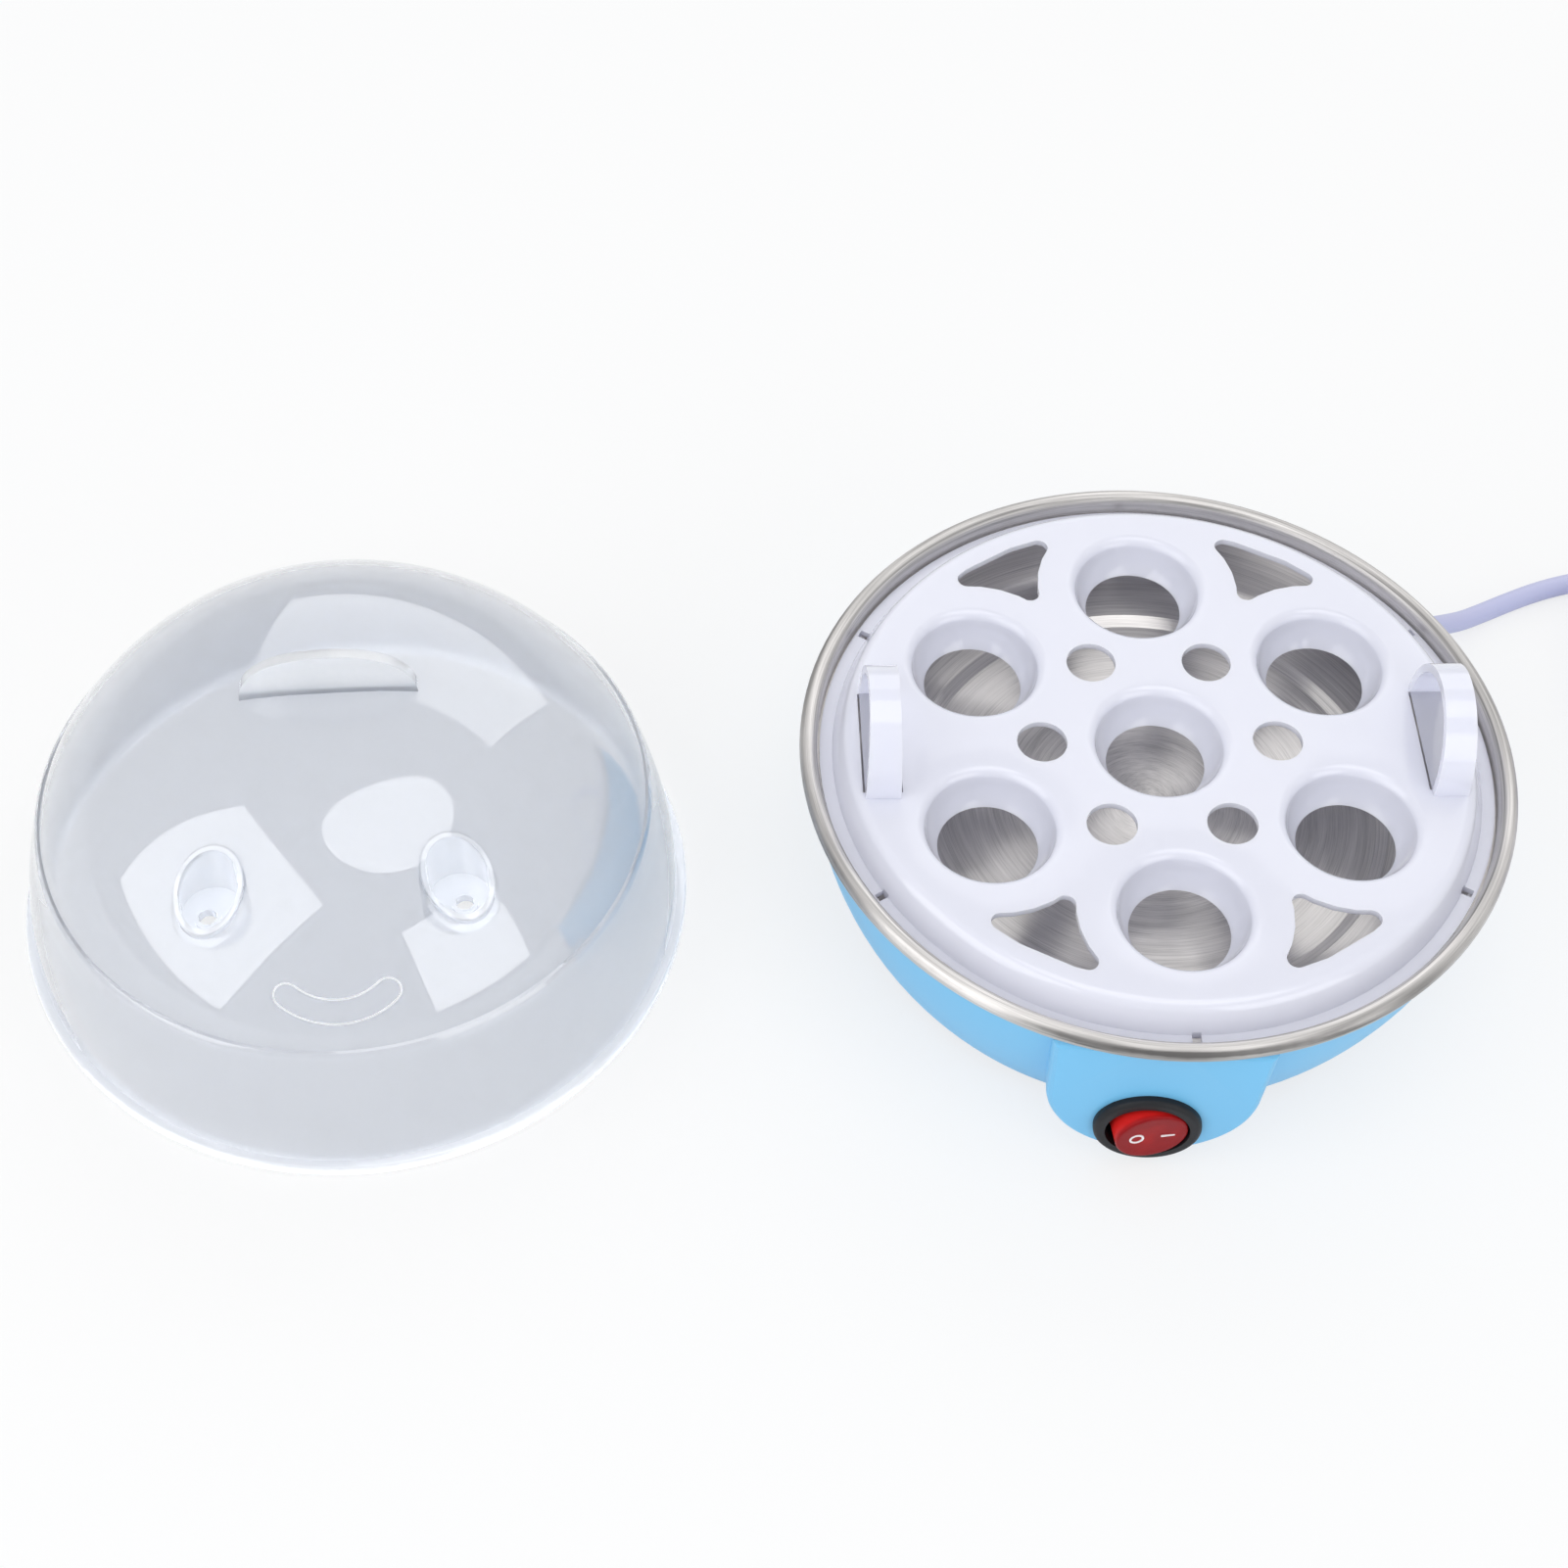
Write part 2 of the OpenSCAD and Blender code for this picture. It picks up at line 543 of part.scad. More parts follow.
// Rounded front edge of the pod
module pod_front() {
    hull() for (a = [0, 22.5, 45, 67.5, 90])
        translate([0, -pod_y + pod_round * (1 - cos(a)) + 0.01, 0]) rotate([90, 0, 0])
            linear_extrude(0.01) pod_outline(pod_round * (1 - sin(a)));
}
module cord_axis() {
    rotate(cord_angle) translate([0, 0, cord_z]) rotate([0, 90, 0]) children();
}
module clamp_places() {
    rotate(cord_angle) for (s = [-1, 1]) translate([clamp_ring, s * clamp_screw, 0]) children();
}
module lug() {
    translate([0, 0, lug_z]) {
        cylinder(r = lug_r, h = lug_t);
        translate([0, -lug_r, 0]) cube([bowl_at(lug_z) - wall / 2 - lug_ring, 2 * lug_r, lug_t]);
    }
}
module housing() {
    boss_z = shelf_z + shelf_t;
    color([0.5, 0.78, 0.94]) at_base() difference() {
        union() {
            difference() {
                union() {
                    bowl_fill(0, under_z, top_z);
                    pod_fill(0, pod_y - pod_round, cover_r + 0.6);
                    pod_front();
                }
                bowl_fill(wall, shelf_z, top_z + 1);
                pod_fill(wall, pod_y - wall, cover_r - 2);
                translate([0, 0, under_z - 2]) cylinder(r = cover_r + cover_gap, h = cover_t + 2);
            }
            // shelf for the bottom cover, with its screw bosses
            intersection() {
                translate([0, 0, shelf_z]) difference() {
                    cylinder(r = base_r, h = shelf_t);
                    translate([0, 0, -1]) cylinder(r = cover_r - shelf_in, h = shelf_t + 2);
                }
                bowl_fill(wall / 2, under_z, top_z);
            }
            ring_of(cover_n, cover_screw_r, 15) translate([0, 0, boss_z - 1])
                cylinder(r = boss_r, h = boss_h);
            intersection() {
                ring_of(lug_n, lug_ring, lug_turn) lug();
                bowl_fill(wall / 2, under_z, top_z);
            }
            // collar round the lead, and the lower half of its clamp
            cord_axis() translate([0, 0, collar_in]) cylinder(r = collar_r, h = collar_out - collar_in);
            rotate(cord_angle) translate([clamp_ring - clamp_w / 2, -clamp_l / 2, shelf_z + 1])
                cube([clamp_w, clamp_l, cord_z - shelf_z - 1 - 0.3]);
        }
        // seat of the pan's ledge and wall
        translate([0, 0, ledge_z - steel_t]) cylinder(r = pan_r + steel_t + 0.1, h = 10);
        ring_of(cover_n, cover_screw_r, 15) translate([0, 0, shelf_z - 1])
            cylinder(r = screw_r + fit, h = boss_h + shelf_t - 1);
        ring_of(lug_n, lug_ring, lug_turn) translate([0, 0, lug_z - 1])
            cylinder(r = stud_r + play, h = lug_t + 2);
        translate([0, -pod_y - 1, switch_z]) rotate([-90, 0, 0])
            cylinder(r = barrel_r + fit, h = barrel_l + 2);
        cord_axis() translate([0, 0, collar_in - 1]) cylinder(r = bush_r + fit, h = 30);
        cord_axis() translate([0, 0, collar_in - 2]) cylinder(r = bush_lip + play, h = 2);
        cord_axis() translate([0, 0, clamp_ring - clamp_w]) cylinder(r = cord_r + fit, h = 2 * clamp_w);
        clamp_places() translate([0, 0, cord_z - 4]) cylinder(r = 1.25 + fit, h = 8);
    }
}

module bottom_cover() {
    vent_n = 5;
    color([0.48, 0.75, 0.92]) at_base() difference() {
        translate([0, 0, under_z]) cylinder(r = cover_r, h = cover_t);
        ring_of(cover_n, cover_screw_r, 15) translate([0, 0, under_z - 1]) {
            cylinder(r = screw_r + play, h = cover_t + 2);
            cylinder(r = 3.1, h = 1.8);
        }
        ring_of(foot_n, foot_ring, 45) translate([0, 0, under_z - 1])
            cylinder(r = stem_r + fit, h = cover_t + 2);
        for (k = [0 : vent_n - 1]) translate([-16 + 2 * abs(k - 2), 6 * (k - 2) - 1.2, under_z - 1])
            cube([32 - 4 * abs(k - 2), 2.4, cover_t + 2]);
    }
}

module rubber_feet() {
    color([0.25, 0.25, 0.27]) at_base() ring_of(foot_n, foot_ring, 45) {
        cylinder(r1 = foot_r - 0.8, r2 = foot_r, h = under_z);
        translate([0, 0, under_z]) cylinder(r = stem_r, h = cover_t);
        translate([0, 0, shelf_z]) cylinder(r1 = stem_r + 0.7, r2 = stem_r - 0.8, h = 2.4);
    }
}

module cover_screws() {
    color([0.62, 0.6, 0.55]) at_base() ring_of(cover_n, cover_screw_r, 15) difference() {
        union() {
            translate([0, 0, under_z + 0.8]) cylinder(r = screw_r, h = boss_h);
            translate([0, 0, under_z - 0.2]) cylinder(r = 2.9, h = 1);
        }
        translate([0, 0, under_z]) for (a = [0, 90]) rotate(a) cube([3.4, 0.7, 1], center = true);
    }
}

// Heater
module heater_plate() {
    color([0.66, 0.67, 0.68]) at_base() difference() {
        translate([0, 0, plate_z]) cylinder(r = plate_r, h = plate_t);
        translate([0, 0, tube_z]) rotate_extrude() translate([ring_r, 0]) circle(tube_r + 0.1);
        for (s = [-1, 1]) translate([s * 14, 0, plate_z - 1]) cylinder(r = 1.5 + fit, h = 3.4);
    }
}
module tube_end(s) {
    rotate(-90 + s * ring_gap / 2) translate([ring_r, 0, tube_z]) rotate([s * 90, 0, 0]) children();
}
module heating_tube() {
    color([0.6, 0.6, 0.58]) at_base() {
        translate([0, 0, tube_z]) rotate(-90 + ring_gap / 2) rotate_extrude(angle = 360 - ring_gap)
            translate([ring_r, 0]) circle(tube_r);
    }
}
module tube_pins() {
    color([0.9, 0.88, 0.82]) at_base() for (s = [-1, 1]) tube_end(s) {
        cylinder(r = 2.4, h = 4);
        translate([0, 0, 4]) cylinder(r = 1.1, h = 8);
    }
}
module thermostat() {
    color([0.2, 0.2, 0.22]) at_base() {
        translate([0, 0, plate_z - stat_h]) cylinder(r = stat_r - 1, h = stat_h - 2);
        translate([0, 0, plate_z - 2.4]) cylinder(r = stat_r, h = 2.4);
        for (s = [-1, 1]) {
            translate([s * 5, 0, stat_tab_z]) cylinder(r = 1.2, h = plate_z - stat_h - stat_tab_z);
            translate([s * (stat_tab_x + 3) / 2, 0, stat_tab_z])
                cube([stat_tab_x - 3, stat_tab_w, tab_t], center = true);
        }
    }
}
module thermostat_strap() {
    color([0.72, 0.72, 0.7]) at_base() difference() {
        union() {
            translate([-17.5, -3.5, plate_z - 0.8]) cube([35, 7, 0.8]);
            translate([-9.6, -3.5, plate_z - 3.4]) cube([19.2, 7, 3.4]);
        }
        translate([0, 0, plate_z - 2.5]) cylinder(r = stat_r + 0.1, h = 4);
        translate([0, 0, plate_z - 5]) cylinder(r = stat_r - 0.9, h = 6);
        for (s = [-1, 1]) translate([s * 14, 0, plate_z - 2]) cylinder(r = 1.5 + fit, h = 4);
    }
}
module strap_screws() {
    color([0.62, 0.6, 0.55]) at_base() for (s = [-1, 1]) translate([s * 14, 0, 0]) {
        translate([0, 0, plate_z - 0.8]) cylinder(r = 1.5, h = 3);
        translate([0, 0, plate_z - 2.6]) cylinder(r = 2.8, h = 1.8);
    }
}
module thermal_fuse() {
    color([0.92, 0.9, 0.84]) at_base() translate([0, fuse_y, fuse_z]) rotate([0, 90, 0]) {
        cylinder(r = fuse_r, h = 26, center = true);
        cylinder(r = 0.6, h = 2 * fuse_end - 0.8, center = true);
    }
}

// Switch: the frame turns so that +Z here points out of the pod
module switch_frame() {
    at_base() translate([0, -pod_y, switch_z]) rotate([90, 0, 0]) children();
}
module switch_body() {
    color([0.12, 0.12, 0.13]) switch_frame() difference() {
        union() {
            rotate_extrude() polygon(concat([[0, 0], [bezel_r, 0]],
                arc([bezel_r - 1.2, bezel_t - 1.2], 1.2, 0, 90, 5), [[0, bezel_t]]));
            translate([0, 0, -barrel_l]) cylinder(r = barrel_r, h = barrel_l);
            for (s = [-1, 1]) translate([s * barrel_r - 1, -2.5, -wall - 3]) cube([2, 5, 2.8]);
        }
        translate([0, 0, bezel_t - well_d]) cylinder(r = well_r, h = well_d + 1);
        translate([-6, -5, -barrel_l + 2]) cube([12, 10, barrel_l]);
        translate([0, 0, -pivot_back]) rotate([90, 0, 0])
            cylinder(r = pin_r + fit, h = 4 * barrel_r, center = true);
        for (x = [-6, 0, 6]) translate([x - tab_t / 2 - 0.02, -tab_w / 2 - 0.02, -barrel_l - 1])
            cube([tab_t + 0.04, tab_w + 0.04, 4]);
    }
}
module switch_tabs() {
    color([0.8, 0.72, 0.42]) switch_frame() for (x = [-6, 0, 6]) difference() {
        translate([x - tab_t / 2, -tab_w / 2, -barrel_l - tab_l]) cube([tab_t, tab_w, tab_l + 2]);
        translate([x - 1, 0, -barrel_l - tab_l + 3]) rotate([0, 90, 0]) cylinder(r = 0.8, h = 2);
    }
}
module switch_lamp() {
    color([0.9, 0.55, 0.4]) switch_frame() translate([0, 3, -barrel_l + 5]) rotate([0, 90, 0])
        cylinder(r = 1.9, h = 11, center = true);
}
module switch_rocker() {
    color([0.8, 0.08, 0.08]) at_base() translate([0, pivot_y, switch_z]) rotate(rock) {
        intersection() {
            translate([0, 0, -rocker_r]) linear_extrude(2 * rocker_r)
                polygon([[-rocker_w, -rocker_front], [rocker_w, -rocker_front], [5.6, 1.4], [-5.6, 1.4]]);
            rotate([90, 0, 0]) cylinder(r = rocker_r, h = 30, center = true);
        }
        cylinder(r = pin_r, h = 2 * well_r + 1.2, center = true);
    }
}

// Slip-on terminal: the tab comes in along +Z and the wire leaves along -Z
module spade(tab) {
    difference() {
        union() {
            translate([-1.4, -tab / 2 - 0.8, -0.6]) cube([2.8, tab + 1.6, 6.4]);
            translate([0, 0, -5]) cylinder(r = 1.7, h = 4.6);
        }
        translate([-tab_t / 2 - 0.02, -tab / 2 - 0.02, 0]) cube([tab_t + 0.04, tab + 0.04, 8]);
        translate([0, 0, -6]) cylinder(r = core_r + 0.06, h = 3.5);
    }
}
module spade_terminals() {
    color([0.85, 0.85, 0.8]) {
        switch_frame() for (x = [-6, 0, 6]) translate([x, 0, -barrel_l - tab_l]) spade(tab_w);
        at_base() for (s = [-1, 1]) translate([s * stat_tab_x, 0, stat_tab_z]) rotate([0, -90 * s, 0])
            spade(stat_tab_w);
    }
}
module live_lead() {
    color([0.45, 0.25, 0.12]) at_base() tube(spline(live_wire, 3), core_r);
}
module neutral_leads() {
    color([0.2, 0.35, 0.75]) at_base() {
        tube(spline(neutral_wire, 3), core_r);
        tube(spline(lamp_wire, 3), core_r);
    }
}
module switched_leads() {
    color([0.92, 0.9, 0.85]) at_base() {
        tube(spline(switched_wire, 3), core_r);
        tube(spline(stat_wire, 3), core_r);
        tube(spline(fuse_wire, 3), core_r);
    }
}

// Lead
module strain_relief() {
    grooves = 4;
    sleeve = relief_tip - collar_out - bush_flange_t;
    color([0.8, 0.81, 0.92]) at_base() cord_axis() rotate_extrude() difference() {
        polygon([[cord_r + fit, collar_in - 1.6], [bush_lip, collar_in - 1.6],
            [bush_lip, collar_in], [bush_r, collar_in], [bush_r, collar_out],
            [bush_flange, collar_out], [bush_flange, collar_out + bush_flange_t],
            [4.8, collar_out + bush_flange_t], [3.5, relief_tip], [cord_r + fit, relief_tip]]);
        for (k = [0 : grooves - 1]) translate([3.7 - 0.2 * k, relief_tip - sleeve * (0.8 - 0.2 * k)])
            square([2, sleeve * 0.08]);
    }
}
module cord_clamp() {
    color([0.93, 0.93, 0.95]) at_base() difference() {
        rotate(cord_angle) translate([clamp_ring - clamp_w / 2, -clamp_l / 2, cord_z + 0.3])
            cube([clamp_w, clamp_l, clamp_t]);
        cord_axis() translate([0, 0, clamp_ring - clamp_w]) cylinder(r = cord_r + fit, h = 2 * clamp_w);
        clamp_places() cylinder(r = 1.25 + play, h = 30);
    }
}
module clamp_screws() {
    color([0.62, 0.6, 0.55]) at_base() clamp_places() translate([0, 0, cord_z - 3.5]) {
        cylinder(r = 1.25, h = clamp_t + 3.8);
        translate([0, 0, clamp_t + 3.8]) cylinder(r = 2.3, h = 1.5);
    }
}
module power_cord() {
    color([0.78, 0.79, 0.93]) at_base() {
        tube(spline(lead, 2), cord_r, 12);
        tube(tail, cord_r, 12);
    }
}
module at_coil() { at_base() translate([coil_at[0], coil_at[1], coil_z]) children(); }
module cord_coil() {
    color([0.78, 0.79, 0.93]) at_coil() rotate_extrude()
        translate([coil_mid - coil_w / 2, 0]) square([coil_w, coil_h]);
}
module cord_tie() {
    color([0.15, 0.15, 0.16]) at_coil() rotate(tie_at) rotate_extrude(angle = tie_angle) difference() {
        out = tie_t + tie_gap;
        translate([coil_mid - coil_w / 2 - out, -out]) square([coil_w + 2 * out, coil_h + 2 * out]);
        translate([coil_mid - coil_w / 2 - tie_gap, -tie_gap])
            square([coil_w + 2 * tie_gap, coil_h + 2 * tie_gap]);
    }
}
// The plug's frame has its pins along +Z
module plug_frame() {
    at_base() translate([tail[2][0], tail[2][1], plug_h / 2]) rotate([90, 0, 0]) children();
}
module plug() {
    half = plug_w / 2;
    front = boot_l + plug_l;
    color([0.8, 0.81, 0.92]) plug_frame() {
        cylinder(r1 = 3.6, r2 = boot_r, h = boot_l + 0.5);
        intersection() {
            rotate([90, 0, 0]) linear_extrude(plug_h, center = true)
                polygon([[-6, boot_l], [6, boot_l], [half - 3, boot_l + 10], [half, boot_l + 17],
                    [half, front], [-half, front], [-half, boot_l + 17], [-half + 3, boot_l + 10]]);
            linear_extrude(front) polygon([[-half + 6, -plug_h / 2], [half - 6, -plug_h / 2], [half, -2],
                [half, 2], [half - 6, plug_h / 2], [-half + 6, plug_h / 2], [-half, 2], [-half, -2]]);
        }
    }
}
module plug_pins() {
    color([0.8, 0.75, 0.55]) plug_frame() for (s = [-1, 1])
        translate([s * prong_gap / 2, 0, boot_l + plug_l]) {
            cylinder(r = prong_r, h = prong_l - 1);
            translate([0, 0, prong_l - 1]) cylinder(r1 = prong_r, r2 = prong_r - 0.8, h = 1);
        }
}

housing();
bottom_cover();
rubber_feet();
cover_screws();
heating_pan();
pan_studs();
stud_nuts();
heater_plate();
heating_tube();
tube_pins();
thermostat();
thermostat_strap();
strap_screws();
thermal_fuse();
switch_body();
switch_tabs();
switch_lamp();
switch_rocker();
spade_terminals();
live_lead();
neutral_leads();
switched_leads();
strain_relief();
cord_clamp();
clamp_screws();
power_cord();
cord_coil();
cord_tie();
plug();
plug_pins();
egg_tray();
lid();
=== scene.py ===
# %% [markdown]
# # Egg cooker: finishes, lead and studio
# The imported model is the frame: every hard part of the egg cooker comes from it at its real size.
# This script gives the parts their finishes, swaps the plain lead for a real one, adds the small
# moulded and printed marks, and lights it all. Lengths are in metres, +Z is up, and the switch
# faces -Y.

import math

import bmesh
import bpy
from mathutils import Matrix, Quaternion, Vector
from mathutils.kdtree import KDTree


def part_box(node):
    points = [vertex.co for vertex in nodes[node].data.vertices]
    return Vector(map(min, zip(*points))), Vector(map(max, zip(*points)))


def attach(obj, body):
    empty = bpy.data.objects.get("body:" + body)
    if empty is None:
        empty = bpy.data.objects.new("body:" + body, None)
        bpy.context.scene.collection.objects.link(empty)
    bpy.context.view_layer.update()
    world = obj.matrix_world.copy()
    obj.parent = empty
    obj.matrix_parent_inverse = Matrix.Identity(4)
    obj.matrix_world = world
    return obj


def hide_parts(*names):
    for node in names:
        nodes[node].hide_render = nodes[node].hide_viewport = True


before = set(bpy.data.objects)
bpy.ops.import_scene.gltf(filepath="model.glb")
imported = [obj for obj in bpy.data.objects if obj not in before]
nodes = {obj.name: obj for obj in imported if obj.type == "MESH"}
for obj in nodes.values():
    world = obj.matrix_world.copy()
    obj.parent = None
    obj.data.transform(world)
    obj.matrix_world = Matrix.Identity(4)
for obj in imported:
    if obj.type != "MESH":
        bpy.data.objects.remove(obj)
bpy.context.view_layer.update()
MM = 0.001

# %% [markdown]
# ## The camera
# The cooker is seen from above and in front, about 52 degrees down, from arm's length. A camera
# could be pointed with a Track To constraint, but three turns written out keep its roll exact:
# first the roll about its own line of sight, then the tilt, then the yaw.

# %% Camera
CAMERA_AT = Vector((9.42, -360.96, 504.66)) * MM
LOOK_DOWN = math.radians(52.493)
YAW = math.radians(0.726)
ROLL = math.radians(3.113)
LENS, SENSOR = 61.432, 36.0     # focal length and width of the sensor, in millimetres


def short(values):
    """Numbers rounded to four digits after the point."""
    return [round(v, 4) for v in values]


camera_data = bpy.data.cameras.new("camera")
camera_data.lens = LENS
camera_data.sensor_width = SENSOR
camera_data.clip_start = 20 * MM
camera = bpy.data.objects.new("camera", camera_data)
bpy.context.scene.collection.objects.link(camera)
camera.matrix_world = (
    Matrix.Translation(CAMERA_AT)
    @ Matrix.Rotation(YAW, 4, "Z")
    @ Matrix.Rotation(math.pi / 2 - LOOK_DOWN, 4, "X")
    @ Matrix.Rotation(ROLL, 4, "Z")
)
bpy.context.scene.camera = camera
print("camera at", short(CAMERA_AT))

# %% [markdown]
# ## Places
# The round parts share two upright axes: one through the base and one through the lid. They could
# be typed in, but read from the frame they keep every turned finish centred on the real part.

# %% Axes read from the frame


def upright_axis(node):
    """The point of the table under the middle of a node's box."""
    low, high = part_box(node)
    middle = (low + high) / 2
    return Vector((middle.x, middle.y, 0.0))


BASE = upright_axis("heating_pan")
LID = upright_axis("lid")
print("base axis", short(BASE), "lid axis", short(LID))

# %% [markdown]
# ## The mains lead
# The lead is a round two-core flex, 5 mm thick and over a metre long. It comes straight out of
# its relief at the rear right, drops to the table within a few diameters, runs off to the right,
# and what is left over is wound into a flat coil with a tie, as such appliances are packed. A
# rope simulation would need settling time and could drift, so the route is drawn: chosen points
# where it lies free, and a rule for the coil.
#
# The coil has three lanes side by side and two layers. Going in, the lead changes lane over half
# a turn, always at the same angle, so that its turns never cut into each other: each lane stays
# one diameter from the next. It climbs to the upper layer on the inside and comes back out the
# same way.

# %% Route of the lead
CORD_D = 5 * MM
# The route is in millimetres from the base's axis and above the table.
FREE_RUN = [
    (34.6, 34.6, 11), (42, 42, 11), (50, 50, 11), (56, 56, 11), (62, 62, 11), (67.4, 67.4, 11),
    (73.6, 72.6, 9.6), (79.2, 77.1, 6.4), (84.2, 80.9, 3.9), (89.5, 84.8, 2.5), (98, 89.8, 2.5),
    (106, 94, 2.5), (114, 97.2, 2.5), (122, 99.6, 2.5), (130, 101, 2.7), (138, 101.3, 3.1),
]
TAIL_RUN = [(182.5, 60, 7.8), (182.5, 55, 7.4), (182.5, 50, 6.9), (182.5, 44.5, 6.9)]
COIL_AT = (150, 68.7)
COIL_OUTER, COIL_LOW = 32.5, 3.2    # the outer lane's radius and the lower layer's height
COIL_TURNS = 5.25
LANE = 5.0          # from one lane or layer to the next, one diameter
CHANGE_FROM = 270   # where on a turn the lead starts to change lane, in degrees
CHANGE_OVER = 180   # and how far round it turns meanwhile
STEP = 15           # from one point of the coil to the next, in degrees


def eased(angle, start):
    """0 before start, 1 after the change is over, and a soft S between."""
    f = min(max((angle - start) / CHANGE_OVER, 0), 1)
    return (1 - math.cos(math.pi * f)) / 2


def coil_point(angle):
    """The lead's centre after it has turned by that angle, clockwise from the coil's north."""
    # Two changes going in, a turn apart, then the climb, then the same two coming back out.
    inward = eased(angle, CHANGE_FROM) + eased(angle, CHANGE_FROM + 360)
    beside = 1 - eased(angle, CHANGE_FROM + 720)
    climb = math.sqrt(max(0, 1 - beside ** 2))
    outward = eased(angle, CHANGE_FROM + 900) + eased(angle, CHANGE_FROM + 1260)
    r = COIL_OUTER - LANE * (inward - outward)
    a = math.radians(90 - angle)
    return (COIL_AT[0] + r * math.cos(a), COIL_AT[1] + r * math.sin(a), COIL_LOW + LANE * climb)


coil_run = [coil_point(k * STEP) for k in range(int(COIL_TURNS * 360 / STEP) + 1)]
route = [BASE + Vector(p) * MM for p in FREE_RUN + coil_run + TAIL_RUN]

# %% [markdown]
# ## From a drawn line to a mesh
# The lead could be swept by hand, ring by ring, but a smooth curve with a round bevel makes it in
# one step. It is then turned into a plain mesh, because a finished piece is easier to measure and
# to export than a live curve. The same small helper later bakes every Geometry Nodes modifier.

# %% The lead as a round tube


def add_object(name, data):
    """A new object in the scene that holds the data."""
    made = bpy.data.objects.new(name, data)
    bpy.context.scene.collection.objects.link(made)
    return made


def baked(source, name):
    """The evaluated object as a plain mesh under its own name. The source is removed."""
    view = bpy.context.evaluated_depsgraph_get()
    mesh = bpy.data.meshes.new_from_object(source.evaluated_get(view), depsgraph=view)
    bpy.data.objects.remove(source)
    mesh.name = name
    return add_object(name, mesh)


def round_line(places, thickness):
    """A smooth curve through the places, with a round section of that thickness."""
    curve = bpy.data.curves.new("drawn_line", "CURVE")
    curve.dimensions = "3D"
    curve.bevel_depth = thickness / 2
    curve.bevel_resolution = 6
    curve.resolution_u = 5
    curve.use_fill_caps = True
    spline = curve.splines.new("BEZIER")
    spline.bezier_points.add(len(places) - 1)
    for knot, place in zip(spline.bezier_points, places):
        knot.co = place
        knot.handle_left_type = knot.handle_right_type = "AUTO"
    return add_object("drawn_line", curve)


mains_lead = baked(round_line(route, CORD_D), "mains_lead")
mains_lead.data.shade_smooth()
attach(mains_lead, "base")
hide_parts("power_cord", "cord_coil")
print("lead:", len(mains_lead.data.polygons), "faces in place of its plain solids")

# %% [markdown]
# ## Writing node trees as arithmetic
# A node tree grows long when each node is placed by hand. Small classes keep it short. A `Wire`
# wraps one output, so that `1 - mask` or `fine * 0.3 + coarse` adds the Math nodes itself. A
# `Tree` makes nodes. A `Finish` is one material and a `Recipe` is one Geometry Nodes tree, and
# both are trees, so both are written in the same way.

# %% Wire and Tree


class Wire:
    """One output socket inside a tree. Arithmetic on it adds Math nodes."""

    def __init__(self, tree, socket):
        self.tree, self.socket = tree, socket

    def _math(self, operation, *values):
        return self.tree.node("ShaderNodeMath", {"operation": operation}, dict(enumerate(values)))

    def __add__(self, other):
        return self._math("ADD", self, other)

    def __sub__(self, other):
        return self._math("SUBTRACT", self, other)

    def __rsub__(self, other):
        return self._math("SUBTRACT", other, self)

    def __mul__(self, other):
        return self._math("MULTIPLY", self, other)

    __radd__ = __add__
    __rmul__ = __mul__

    def clamped(self):
        """Held between 0 and 1."""
        return self.tree.node("ShaderNodeClamp", {}, {"Value": self})

    def above(self, limit, rate):
        """0 up to the limit, then rising to 1 at that rate: 1000 rises over a millimetre."""
        return ((self - limit) * rate).clamped()

    def below(self, limit, rate):
        """0 down to the limit, then rising to 1 at that rate."""
        return ((limit - self) * rate).clamped()


class Tree:
    """A node tree that is built from Python. It starts empty."""

    def __init__(self, tree):
        self.nodes, self.links = tree.nodes, tree.links
        self.nodes.clear()

    def node(self, kind, settings=None, sockets=None, output=0):
        """A new node: its settings first, then the values or wires of its sockets."""
        made = self.nodes.new(kind)
        for key, value in (settings or {}).items():
            if key == "stops":      # a colour ramp's pairs of place and colour
                ramp = made.color_ramp
                for element, (place, colour) in zip(ramp.elements, value):
                    element.position, element.color = place, colour
                for place, colour in value[len(ramp.elements):]:
                    ramp.elements.new(place).color = colour
            else:
                setattr(made, key, value)
        for key, value in (sockets or {}).items():
            if isinstance(value, Wire):
                self.links.new(value.socket, made.inputs[key])
            else:
                made.inputs[key].default_value = value
        return Wire(self, made.outputs[output])

    def end(self, kind, socket, wire):
        """Closes the tree: the wire goes into a last node, which has no output of its own."""
        self.links.new(wire.socket, self.nodes.new(kind).inputs[socket])


print("trees ready")

# %% [markdown]
# ## A finish
# Every finish is one material with the general surface shader. Plain numbers go to the shader's
# own sockets by name. What changes over the surface could come from a picture, but a picture needs
# a file and shows its seams, so it is drawn by noise in object coordinates. There it stays on the
# part when the part moves.

# %% Finish


